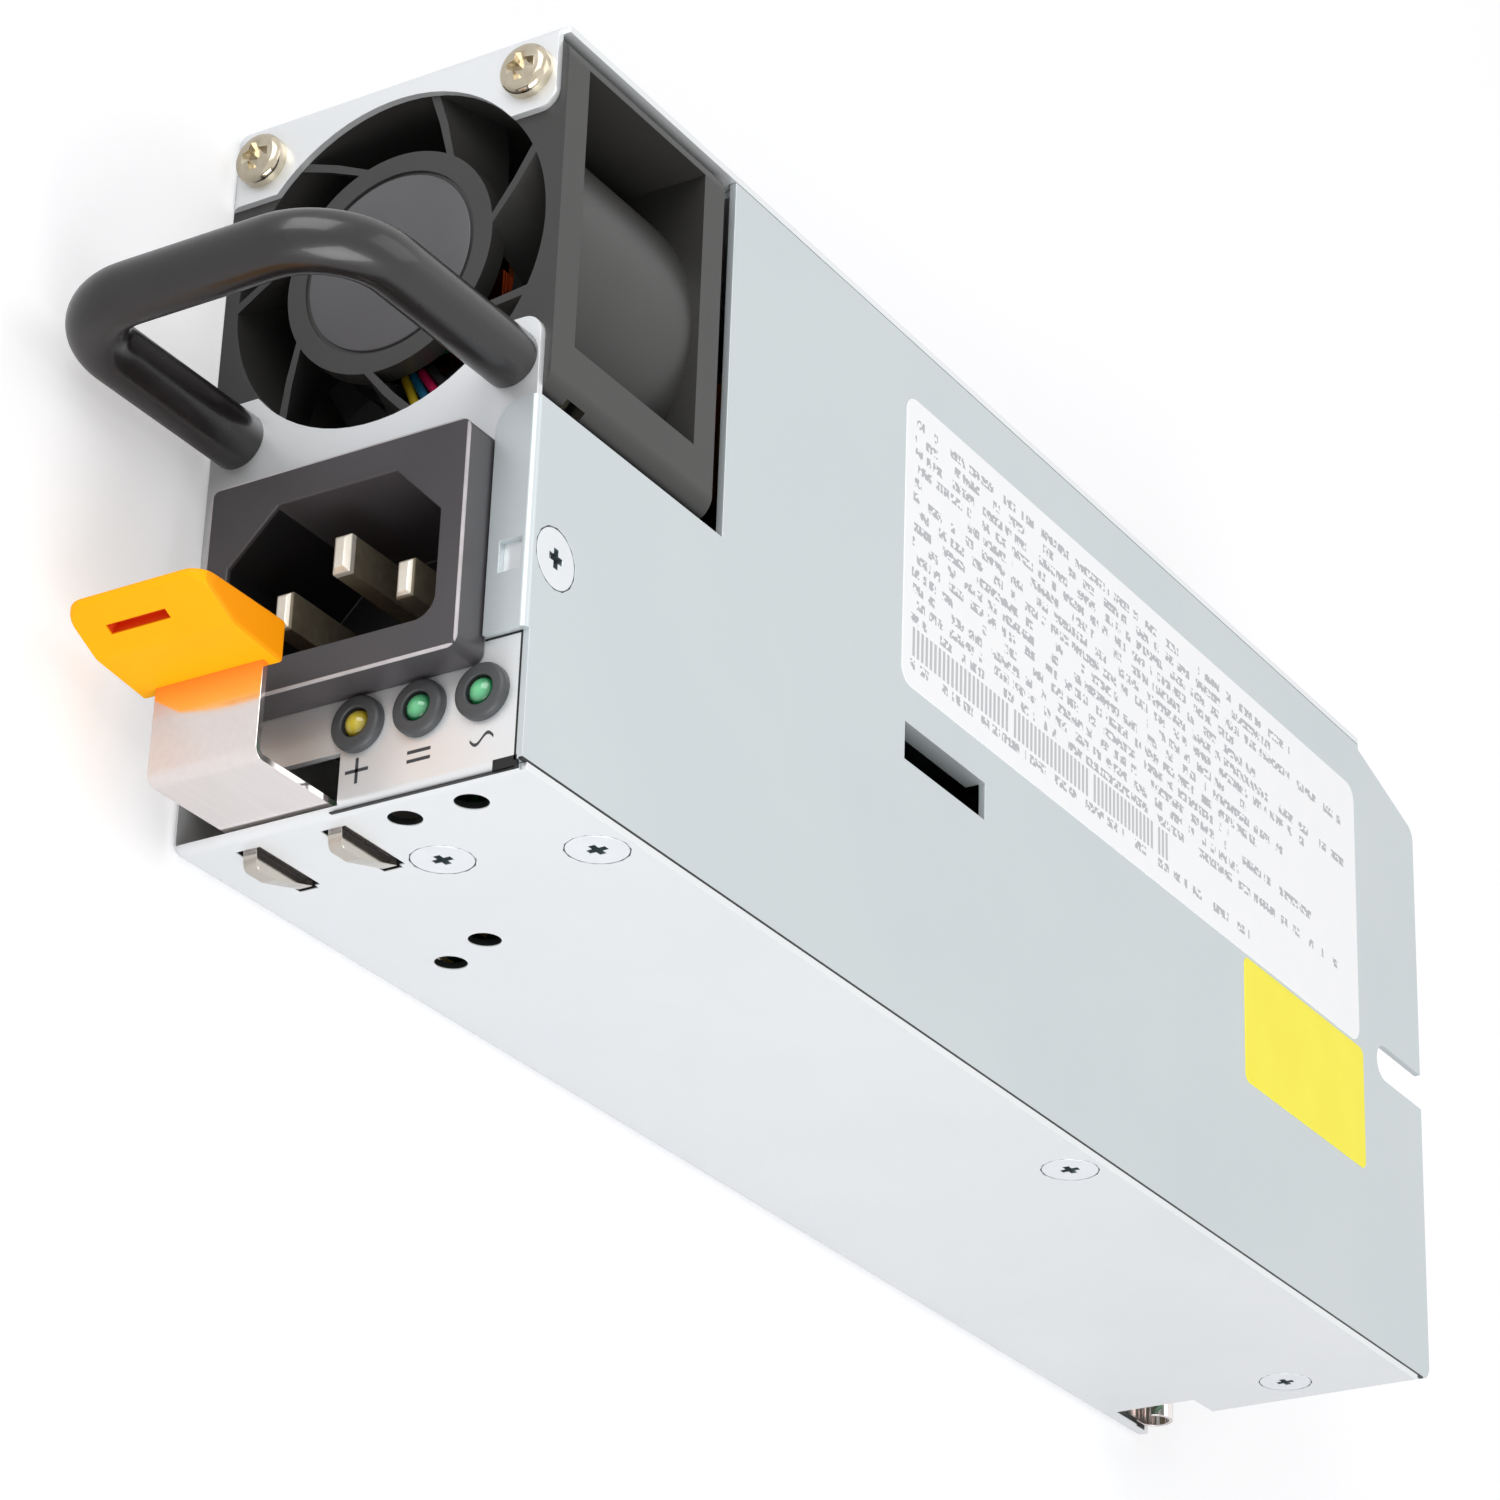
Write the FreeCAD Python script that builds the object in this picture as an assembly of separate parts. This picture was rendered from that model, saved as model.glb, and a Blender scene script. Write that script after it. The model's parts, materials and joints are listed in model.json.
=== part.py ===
import FreeCAD, Part
import math
import os
from FreeCAD import Vector

# Hot swap server power supply, lying flat with its label side up. Millimetres.
# X runs across the unit, from the fan side (-) to the latch side (+).
# Y runs from the front, where the handle is, to the card edge at the rear.
# Z runs up from the floor. The origin is the middle of the case's underside.
# Depths are written from the front face, and place() moves a piece to the frame.

os.makedirs("parts", exist_ok=True)

# Sheet metal
SHEET = 0.8
BEND_OUTER = 1.3
SHEET_GAP = 0.1
HOLE_EASE = 0.2
CUT_PAST = 2.0

# Flat sides of small round pieces and of their holes
PEG_SIDES = 14

# Fan: a 40 mm frame, 28 mm deep, with its motor held by guide vanes at the outlet
FAN_SIZE = 40.0
FAN_DEPTH = 28.0
FAN_RIM = 1.7
FAN_WALL = 1.0
FAN_FLANGE = 3.6
FAN_CORNER = 2.5
FAN_SIDE_WALL = 2.4
FAN_POST = 6.5
FAN_HOLE_INSET = 4.0
FAN_HOLE = 3.4
MOTOR_BASE = 24.3
MOTOR_BASE_THICK = 2.2
MOTOR_LABEL = 20.0
MOTOR_LABEL_DEEP = 0.3
VANE_COUNT = 7
VANE_PHASE = -10.0
VANE_SWEEP = 23.5
VANE_BOW = 0.48
VANE_TWIST = -12.0
VANE_DEPTH = 6.6
VANE_THICK = 1.1
VANE_ROOT = 0.6
VANE_STEPS = 2

# Rotor and motor
ROTOR_HUB = 23.4
ROTOR_GAP = 1.0
ROTOR_SKIN = 1.0
BLADE_COUNT = 5
BLADE_TIP_GAP = 0.5
BLADE_THICK = 1.1
BLADE_CHORD = 11.5
BLADE_CAMBER = 1.35
BLADE_STATIONS = (-0.5, -0.2, 0.2, 0.5)
BLADE_PITCH = 38.0
BLADE_TWIST = 16.0
BLADE_SKEW = 1.5
BLADE_ROOT = 1.5
MAGNET_THICK = 1.2
MAGNET_SHORT = 2.0
SHAFT = 2.0
SHAFT_FIT = 0.03
SHAFT_FLOOR = 1.3
BEARING_OUTER = 5.0
BEARING_SHORT = 3.0
STATOR_GAP = 0.4
STATOR_POLES = 4
STATOR_SHORT = 2.0
POLE_WIDE = 1.6
SHOE_WIDE = 6.4
SHOE_THICK = 1.2
COIL_WIDE = 3.4
COIL_OVER = 1.0
YOKE_WIDE = 8.0
CIRCUIT_THICK = 1.9
CIRCUIT_FLATS = 19.0

# Fan leads and their plug
LEAD_COUNT = 4
LEAD_THICK = 0.95
LEAD_SIDES = 6
LEAD_START = 9.4
LEAD_ANGLE = 11.5
LEAD_STEP = 5.4
LEAD_ROOM = 0.9
LEAD_ASIDE = 1.6
LEAD_CORNER = 2.0
LEAD_BEND_STEPS = 2
PLUG_FROM_EDGE = 5.0
PLUG_PITCH = 2.0
PLUG_WIDE = 5.2
PLUG_HIGH = 5.0

# Mains inlet
INLET_WIDE = 23.8
INLET_HIGH = 30.0
INLET_STAND = 4.5
INLET_CORNER = 1.2
INLET_TOP_GAP = 0.2
RECESS_X = 16.4
RECESS_Z = 24.5
RECESS_DEPTH = 16.0
RECESS_CHAMFER = 5.4
RECESS_ROUND = 2.2
INLET_WALL = 1.8
INLET_FLOOR = 2.0
PIN_WIDE = 4.0
PIN_THIN = 2.0
PIN_CHAMFER = 0.5
PIN_SPACING = 14.0
PIN_OFFSET = 4.0
PIN_SHORT = 2.0
EARTH_LEAD = 0.8
TERMINAL_LONG = 5.0
TERMINAL_THIN = 0.8
INLET_WIRE = 2.4
INLET_WIRE_CORNER = 3.0
INLET_WIRE_DROP = 3.0
INLET_WIRE_STEP = 4.0

# Case: as high as its fan, and as wide as its fan and inlet side by side
FAN_TO_INLET = 4.0
INLET_TO_WALL = 10.6
CASE_WIDTH = 2 * SHEET + FAN_SIZE + FAN_TO_INLET + INLET_WIDE + INLET_TO_WALL
CASE_HEIGHT = FAN_SIZE
CASE_LENGTH = 192.0
HALF = CASE_WIDTH / 2
INNER = HALF - SHEET
LID_UNDER = CASE_HEIGHT - SHEET
TAIL_LONG = 15.6
WALL_REAR = CASE_LENGTH - TAIL_LONG
EAR_INSET = 4.8
EAR_START = 1.5
FAN_TAB = 8.3
FAN_TAB_RADIUS = 2.0

FAN_X = -INNER + FAN_SIZE / 2
FAN_Z = FAN_SIZE / 2
FAN_SIDE = FAN_X + FAN_SIZE / 2
FAN_FRONT = SHEET
FAN_REAR = FAN_FRONT + FAN_DEPTH
FAN_BORE = FAN_SIZE - 2 * FAN_RIM
ROTOR_FRONT = FAN_FRONT + VANE_DEPTH + ROTOR_GAP
ROTOR_REAR = FAN_REAR - ROTOR_GAP
BEARING_REAR = ROTOR_REAR - BEARING_SHORT
LEAD_X = FAN_SIDE + LEAD_ASIDE
LEAD_Y = FAN_FRONT + MOTOR_BASE_THICK + CIRCUIT_THICK + LEAD_THICK / 2

# Handle
HANDLE_BAR = 6.0
HANDLE_REACH = 26.7
HANDLE_BEND = 8.0
HANDLE_STEPS = 4
HANDLE_STUD = 3.0
STUD_PAST = 0.6
NUT_FLATS = 5.5
NUT_THICK = 2.4
NUT_TURN = 15.0
NUT_ROOM = 3.5

# Screws
PAN_HEAD = 5.6
PAN_HEIGHT = 2.2
FAN_SCREW = 3.1
FAN_SCREW_LENGTH = 6.0
FLAT_HEAD = 6.2

# Cover: its front flange covers the face's edge beside the fan
FLANGE_GAP = 0.3
FLANGE_WIDE = 25.0
FLANGE_DROP = 4.7
FLANGE_CORNER = 3.0
FLANGE_BEND = 0.7
HOOK_IN = 15.6
HOOK_WIDE = 3.3
HOOK_LOW = 3.4
HOOK_HIGH = 0.9
COVER_FAN_SIDE = 1.0
COVER_FAN_REAR = 2.1
COVER_NEAR = FAN_SIDE + COVER_FAN_SIDE
COVER_REACH = FAN_REAR + COVER_FAN_REAR
COVER_CORNER = 2.0
SIDE_FLANGE = 8.0
SIDE_FLANGE_FRONT = 12.9
SIDE_FLANGE_REAR = 118.0
SIDE_FLANGE_GAP = 1.0
KEY_X = 1.75
KEY_WIDE = 4.5
KEY_DEEP = 12.5
SLOT_X = 6.1
SLOT_WIDE = 4.3
SLOT_Y = 66.4
SLOT_LONG = 16.7
SLOT_TURN = 1.6
SLOT_TURN_LOW = 0.3
LID_SCREW_IN = 16.3
LID_SCREW_Y = 3.4
LID_TAB_WIDE = 9.0
LID_TAB_LONG = 6.8
FLANGE_X0 = FAN_SIDE + FLANGE_GAP
FLANGE_X1 = FLANGE_X0 + FLANGE_WIDE
LID_SCREW_X = FLANGE_X0 + LID_SCREW_IN
INLET_X1 = INNER - INLET_TO_WALL
INLET_X0 = INLET_X1 - INLET_WIDE
INLET_Z1 = CASE_HEIGHT - FLANGE_DROP - INLET_TOP_GAP
INLET_Z0 = INLET_Z1 - INLET_HIGH
INLET_REAR = -INLET_STAND + RECESS_DEPTH + INLET_FLOOR

# Release latch
LATCH_SHEET = 0.7
LATCH_Z0 = 6.3
LATCH_Z1 = 18.7
LATCH_GAP = 0.25
LATCH_OUT = 11.2
LATCH_RISE = 11.9
LATCH_BEND = 1.2
LATCH_PIVOT = 26.0
LATCH_FOOT = 37.0
WINDOW_WIDE = 5.3
WINDOW_EASE = 0.8
CATCH_PROUD = 1.6
CATCH_FRONT = 3.2
CATCH_REAR = 12.0
CATCH_CREST = 3.2
CATCH_LEAD = 0.4
CATCH_THICK = 1.6
CATCH_INSET = 1.0
CATCH_EASE = 0.6
CATCH_ROUND = 0.8
TAB_INSET = 14.2
TAB_THICK = 4.3
TAB_Z0 = 4.0
TAB_Z1 = 20.0
TAB_REACH = 22.6
TAB_KINK_IN = 3.5
TAB_KINK_Y = 17.2
TAB_REAR = 9.9
TAB_ROUND = 1.2
TAB_TIP = 0.8
GRIP_FROM_TIP = 3.3
GRIP_WIDE = 1.1
GRIP_DEEP = 1.5
GRIP_LOW = 3.4
GRIP_HIGH = 5.8
LATCH_X = INNER - LATCH_GAP
CATCH_HEIGHTS = (LATCH_Z0 + CATCH_THICK / 2, LATCH_Z1 - CATCH_INSET - CATCH_THICK / 2)

# Status lamps
LAMP_COUNT = 3
LAMP_FROM_WALL = 7.6
LAMP_FROM_LID = 3.8
LAMP_PITCH = 6.95
LAMP_RING = 5.6
LAMP_RING_HEIGHT = 1.0
LAMP_LENS = 3.0
LAMP_PROUD = 0.3
LAMP_HOLE = 3.4
LAMP_BOARD_Y = 5.0
LAMP_BOARD_THICK = 1.2
LAMP_BOARD_SIDE = 2.2
LAMP_BOARD_EDGE = 2.0
BRACKET_HIGH = 7.0
BRACKET_BELOW = 2.5
BRACKET_THICK = 1.2
LAMP_X = INNER - LAMP_FROM_WALL
LAMP_Z = LID_UNDER - LAMP_FROM_LID - (LAMP_COUNT - 1) * LAMP_PITCH

# Latch side wall
WALL_SCREW_DROP = 3.0
WALL_SCREW_FRONT = 17.9
WALL_SCREW_MIDDLE = 109.0
WALL_SCREW_LAMP = 13.0
WALL_SCREW_LAMP_Z = 22.2
WALL_SCREW_GRILLE_Z = 25.8
WALL_SCREW_GRILLE_PAST = 5.5
WALL_SHORT = 3.5
WALL_LIP = 3.0
WALL_LIP_DROP = 0.6
NOTCH_LONG = 9.0
NOTCH_Z0 = 2.4
NOTCH_Z1 = 13.0
WALL_HOLE = 3.3
LAMP_HOLE_Y = 4.0
LAMP_HOLE_DROP = 7.4
FOOT_HOLES = ((29.9, 15.2), (32.9, 9.1))
FOOT_RIM = 1.2
WALL_SCREW_Z = LID_UNDER - WALL_SCREW_DROP
WALL_SCREW_GRILLE = WALL_REAR + WALL_SCREW_GRILLE_PAST
WALL_END = CASE_LENGTH - WALL_SHORT
NOTCH_Y = CASE_LENGTH - NOTCH_LONG

# Rear wall
GRILLE_HOLE = 8.0
GRILLE_PITCH = 9.4
GRILLE_EDGE = 2.6
GRILLE_SIDE = 5.5
GRILLE_LIP = 8.0
GUARD_PAST = 9.5
GUARD_ABOVE = 2.0
BOARD_SLOT_EASE = 0.5
BOARD_SLOT_SIDE = 6.1

# Rear spring clip
CLIP_WIDE = 5.0
CLIP_PROUD = 2.0
CLIP_ROLL = 2.3
CLIP_THICK = 0.5
CLIP_SIDE = 0.6
CLIP_FOOT = 5.0
CLIP_MOUTH = 0.6

# Circuit board
BOARD_THICK = 1.6
BOARD_Z = 6.4
BOARD_GAP = 1.0
BOARD_FAN_GAP = 2.2
BOARD_REAR_GAP = 4.4
EDGE_SHORT = 2.0
EDGE_SIDE = 1.5
EDGE_WIDE = 48.7
EDGE_BEVEL = 0.5
CONTACT_COUNT = 12
CONTACT_WIDE = 2.4
CONTACT_LONG = 7.5
CONTACT_THICK = 0.06
CONTACT_SIDE = 2.3
CONTACT_REAR = 0.9
STANDOFF = 6.0
STANDOFF_INSET = 5.0
BOARD_SCREW_FLATS = 5.0
BOARD_SCREW_HIGH = 1.8
INSULATOR = 0.4
INSULATOR_GAP = 1.0
BOARD_TOP = BOARD_Z + BOARD_THICK
BOARD_SIDE = INNER - BOARD_GAP
BOARD_FRONT = FAN_REAR + BOARD_FAN_GAP
BOARD_REAR = WALL_REAR - BOARD_REAR_GAP
EDGE_REAR = CASE_LENGTH - EDGE_SHORT
ROOM = LID_UNDER - BOARD_TOP

# Parts at the front of the board. Depths are from its front edge, and sides from its sides.
FILTER_X = 2.2
FILTER_Y = 12.0
FILTER_WIDE = 27.0
FILTER_DEEP = 11.0
FILTER_HIGH = 18.0
LINE_CHOKE_X = 6.2
LINE_CHOKE_Y = 27.0
LINE_CHOKE_WIDE = 20.0
LINE_CHOKE_DEEP = 16.0
LINE_CHOKE_HIGH = 20.0
LINE_CHOKE_YOKE = 3.5
RELAY_X = 15.2
RELAY_Y = 48.0
RELAY_WIDE = 13.0
RELAY_DEEP = 10.0
RELAY_HIGH = 15.0
FUSE_X = 8.2
FUSE_THICK = 5.2
FUSE_LONG = 10.0
SINK_X = 0.0
SINK_Y = 16.0
SINK_LONG = 41.0
SINK_THICK = 3.0
SINK_REACH = 5.5
SINK_FINS = 5
SINK_FIN = 1.2
SINK_FOOT = 5.0
SINK_CLEAR = 3.2
BRIDGE_Y = 21.0
BRIDGE_LONG = 22.0
BRIDGE_THICK = 4.6
BRIDGE_HIGH = 17.0
BRIDGE_LEG = 4.0
BRIDGE_LEGS = 4
BRIDGE_LEG_THICK = 1.0
CHOKE_X = 4.2
CHOKE_Y = 19.0
CHOKE_WIDE = 24.0
CHOKE_DEEP = 26.0
CHOKE_CLEAR = 5.2
CHOKE_YOKE = 4.5

# Parts in the middle of the board, between the front group and the transformer
BULK_Y = 61.0
BULK_SIDE = 1.5
BULK_CLEAR = 5.8
BULK_GAP = 1.0
BULK_REAR_GAP = 4.0
CARD_X = 16.2
CARD_THICK = 1.2
CARD_CLEAR = 7.2
CARD_REAR_GAP = 7.0
CHIP_COUNT = 3
CHIP_LONG = 8.0
CHIP_HIGH = 5.0
CHIP_THICK = 1.5
CHIP_RISE = 9.0

# Parts at the rear of the board. Depths are from the rear wall's outer face.
TRANSFORMER_X = -10.0
TRANSFORMER_Y = 35.4
TRANSFORMER_WIDE = 28.0
TRANSFORMER_DEEP = 26.0
TRANSFORMER_CLEAR = 3.2
TRANSFORMER_YOKE = 5.0
CORE_FOOT = 2.0
CORE_OVER = 4.5
CORE_FIT = 0.1
CORE_LEG = 1.6
OUTPUT_SINK_X = 16.2
OUTPUT_SINK_LONG = 27.0
OUTPUT_CAN = 8.0
OUTPUT_HIGH = 16.0
OUTPUT_SIDE = 5.2
OUTPUT_PITCH = 10.0
OUTPUT_ROWS = 2
OUTPUT_COLUMNS = 1
OUTPUT_Y = 34.0


def box(x0, x1, y0, y1, z0, z1):
    return Part.makeBox(x1 - x0, y1 - y0, z1 - z0, Vector(x0, y0, z0))


def rod(radius, start, end):
    """A round bar from one point to another."""
    line = Vector(*end) - Vector(*start)
    return Part.makeCylinder(radius, line.Length, Vector(*start), line)


def peg(diameter, start, end):
    """A small round bar from one point to another, drawn with flat sides."""
    line = Vector(*end) - Vector(*start)
    ring = [(diameter / 2 * math.cos(2 * math.pi * i / PEG_SIDES),
             diameter / 2 * math.sin(2 * math.pi * i / PEG_SIDES)) for i in range(PEG_SIDES)]
    bar = slab_xy(ring, 0, line.Length)
    bar.Placement = FreeCAD.Placement(Vector(*start),
                                      FreeCAD.Rotation(Vector(0, 0, 1), line))
    return bar


def face_of(points):
    corners = [Vector(*p) for p in points]
    return Part.Face(Part.makePolygon(corners + corners[:1]))


def slab_xy(points, z0, z1):
    """A flat outline in X and Y, z0 to z1 high."""
    return face_of([(x, y, z0) for x, y in points]).extrude(Vector(0, 0, z1 - z0))


def slab_xz(points, y0, y1):
    """An outline seen from the front, y0 to y1 deep."""
    return face_of([(x, y0, z) for x, z in points]).extrude(Vector(0, y1 - y0, 0))


def hexagon(a, b, flats, turn=0.0):
    """The six corners of a hexagon round a point, as pairs."""
    radius = flats / math.sqrt(3)
    angles = [math.radians(60 * i + turn) for i in range(6)]
    return [(a + radius * math.sin(t), b + radius * math.cos(t)) for t in angles]


def edges_along(shape, axis):
    """The straight edges that run along one axis."""
    found = []
    for edge in shape.Edges:
        if len(edge.Vertexes) != 2:
            continue
        run = edge.Vertexes[1].Point - edge.Vertexes[0].Point
        if run.Length > 0.01 and abs(abs(run.dot(axis)) - run.Length) < 1e-6:
            found.append(edge)
    return found


def round_box(x0, x1, y0, y1, z0, z1, radius, axis):
    """A box whose four edges along one axis are round."""
    plain = box(x0, x1, y0, y1, z0, z1)
    return plain.makeFillet(radius, edges_along(plain, axis))


def fuse_all(shapes):
    return shapes[0].multiFuse(shapes[1:]).removeSplitter()


def place(shape):
    """Moves a piece from depths behind the front face to the frame."""
    moved = shape.copy()
    moved.translate(Vector(0, -CASE_LENGTH / 2, 0))
    return moved


def save(name, *shapes):
    solids = [place(s) for shape in shapes for s in shape.Solids]
    Part.makeCompound(solids).exportStep("parts/" + name + ".step")


def ring_point(radius, degrees, y):
    """A point round the fan's axis; 0 degrees is +X and 90 degrees is up."""
    turn = math.radians(degrees)
    return Vector(FAN_X + radius * math.cos(turn), y, FAN_Z + radius * math.sin(turn))


def fan_disc(radius, y0, y1):
    return rod(radius, (FAN_X, y0, FAN_Z), (FAN_X, y1, FAN_Z))


def fan_corners():
    """The four screw places of the fan, two on the fan side first."""
    half = FAN_SIZE / 2 - FAN_HOLE_INSET
    return [(FAN_X + sx * half, FAN_Z + sz * half) for sx in (-1, 1) for sz in (-1, 1)]


def ear_cut(z0, z1):
    """The corner that the rear end leaves out on the fan side."""
    side = -HALF - CUT_PAST
    rear = CASE_LENGTH + CUT_PAST
    deep = -HALF + EAR_START + EAR_INSET
    return slab_xy([(side, WALL_REAR), (-HALF + EAR_START, WALL_REAR), (deep, CASE_LENGTH),
                    (deep, rear), (side, rear)], z0, z1)


def face_fan_opening():
    """The round hole in the front face, open to both edges between the screw tabs."""
    half = FAN_SIZE / 2 - FAN_TAB
    hole = fan_disc(FAN_BORE / 2, -CUT_PAST, FAN_FRONT)
    band = box(FAN_X - half, FAN_X + half, -CUT_PAST, FAN_FRONT,
               -CUT_PAST, CASE_HEIGHT + CUT_PAST)
    return hole.fuse(band)


def flat_head(point, inward, ease):
    """A flush screw's head, as deep as the sheet; with ease, the hole it fills."""
    return peg(FLAT_HEAD + ease, point, Vector(*point) + Vector(*inward) * SHEET)


def wall_screw_points():
    """The flush screws of the latch side, as depth and height."""
    return [(WALL_SCREW_LAMP, WALL_SCREW_LAMP_Z), (WALL_SCREW_FRONT, WALL_SCREW_Z),
            (WALL_SCREW_MIDDLE, WALL_SCREW_Z), (WALL_SCREW_GRILLE, WALL_SCREW_GRILLE_Z)]


def wall_hole_points():
    """The plain round holes of the latch side, as depth and height."""
    high = LID_UNDER - LAMP_HOLE_DROP
    return [(LAMP_HOLE_Y, high), (LAMP_HOLE_Y, high - LAMP_HOLE_DROP)] + list(FOOT_HOLES)


def catch_slot(z):
    half = (CATCH_THICK + CATCH_EASE) / 2
    return box(INNER - CUT_PAST, HALF + CUT_PAST, CATCH_FRONT - CATCH_EASE,
               CATCH_REAR + CATCH_EASE, z - half, z + half)


def inlet_outline(x0, x1, z0, z1, chamfer, radius, y0, y1):
    """The plug's outline: two corners cut off on the fan side, two rounded on the other."""
    points = [(x0 + chamfer, z0), (x1, z0), (x1, z1), (x0 + chamfer, z1),
              (x0, z1 - chamfer), (x0, z0 + chamfer)]
    body = slab_xz(points, y0, y1)
    corners = [e for e in edges_along(body, Vector(0, 1, 0)) if e.Vertexes[0].X > x1 - 0.01]
    return body.makeFillet(radius, corners)


def recess_bounds():
    mid_x = (INLET_X0 + INLET_X1) / 2
    mid_z = (INLET_Z0 + INLET_Z1) / 2
    return (mid_x - RECESS_X / 2, mid_x + RECESS_X / 2,
            mid_z - RECESS_Z / 2, mid_z + RECESS_Z / 2)


def inlet_body(grow, y0, y1):
    x0, x1, z0, z1 = recess_bounds()
    wall = INLET_WALL + grow
    return inlet_outline(x0 - wall, x1 + wall, z0 - wall, z1 + wall,
                         RECESS_CHAMFER, RECESS_ROUND + wall, y0, y1)


def lamp_points():
    return [(LAMP_X, LAMP_Z + i * LAMP_PITCH) for i in range(LAMP_COUNT)]


def tray():
    """Floor, two side walls and front face, folded from one sheet."""
    rear = CASE_LENGTH + CUT_PAST
    top = CASE_HEIGHT + CUT_PAST
    outer = box(-HALF, HALF, 0, rear, 0, top)
    folds = [e for e in edges_along(outer, Vector(0, 1, 0)) if e.Vertexes[0].Z < 1]
    folds += [e for e in edges_along(outer, Vector(0, 0, 1)) if e.Vertexes[0].Y < 1]
    folds += [e for e in edges_along(outer, Vector(1, 0, 0))
              if e.Vertexes[0].Y < 1 and e.Vertexes[0].Z < 1]
    outer = outer.makeFillet(BEND_OUTER, folds)
    body = outer.cut(box(-INNER, INNER, SHEET, rear + 1, SHEET, top + 1))
    side = HALF + CUT_PAST
    body = body.cut([
        box(-side, side, CASE_LENGTH, rear + 1, -CUT_PAST, top + 1),
        box(-side, side, -CUT_PAST, rear, CASE_HEIGHT, top + 1),
        box(-side, side, -CUT_PAST, SHEET, LID_UNDER, top),
        ear_cut(-CUT_PAST, top),
        box(INNER, side, WALL_END, rear, SHEET + BEND_OUTER, top)])

    body = body.cut(face_fan_opening())
    half = FAN_SIZE / 2 - FAN_TAB
    body = body.cut([
        box(-INNER, COVER_NEAR, SHEET, COVER_REACH, -CUT_PAST, SHEET),
        box(FAN_X - half, FAN_X + half, -CUT_PAST, COVER_REACH, -CUT_PAST, SHEET),
        box(-INNER, FAN_SIDE, FAN_FRONT, FAN_REAR, -CUT_PAST, top)])
    corners = [e for e in edges_along(body, Vector(0, 1, 0)) if e.Vertexes[0].Y < SHEET + 0.01
               and abs(abs(e.Vertexes[0].X - FAN_X) - half) < 0.01
               and min(e.Vertexes[0].Z, LID_UNDER - e.Vertexes[0].Z) < 0.01]
    body = body.makeFillet(FAN_TAB_RADIUS, corners)

    holes = [peg(FAN_SCREW + 2 * HOLE_EASE, (x, -CUT_PAST, z), (x, CUT_PAST, z))
             for x, z in fan_corners()]
    holes += [box(x - LAMP_HOLE / 2, x + LAMP_HOLE / 2, -CUT_PAST, CUT_PAST,
                  z - LAMP_HOLE / 2, z + LAMP_HOLE / 2) for x, z in lamp_points()]
    holes.append(inlet_body(HOLE_EASE, -CUT_PAST, CUT_PAST))
    holes.append(box(INNER - WINDOW_WIDE, INNER, -CUT_PAST, CUT_PAST,
                     LATCH_Z0 - WINDOW_EASE, LATCH_Z1 + WINDOW_EASE))
    holes += [catch_slot(z) for z in CATCH_HEIGHTS]
    holes += [flat_head((HALF, y, z), (-1, 0, 0), HOLE_EASE) for y, z in wall_screw_points()]
    holes += [rod(WALL_HOLE / 2, (INNER - CUT_PAST, y, z), (side, y, z))
              for y, z in wall_hole_points()]
    holes.append(box(INNER - CUT_PAST, side, NOTCH_Y, rear, NOTCH_Z0, NOTCH_Z1))
    body = body.cut(holes)
    lip = box(HALF - WALL_LIP, HALF, WALL_END - SHEET, WALL_END,
              NOTCH_Z1, LID_UNDER - WALL_LIP_DROP)
    body = fuse_all([body, lip, lid_tab()])
    fold = [e for e in edges_along(body, Vector(0, 0, 1))
            if e.Vertexes[0].Y > WALL_END - 0.01 and e.Vertexes[0].X > HALF - 0.01
            and e.Length > NOTCH_Z1]
    return body.makeFillet(SHEET, fold)


def lid_tab():
    """The tab that the front face turns back under the cover, for the cover's screw."""
    return box(LID_SCREW_X - LID_TAB_WIDE / 2, LID_SCREW_X + LID_TAB_WIDE / 2,
               SHEET, SHEET + LID_TAB_LONG, LID_UNDER - SHEET, LID_UNDER)


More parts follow.
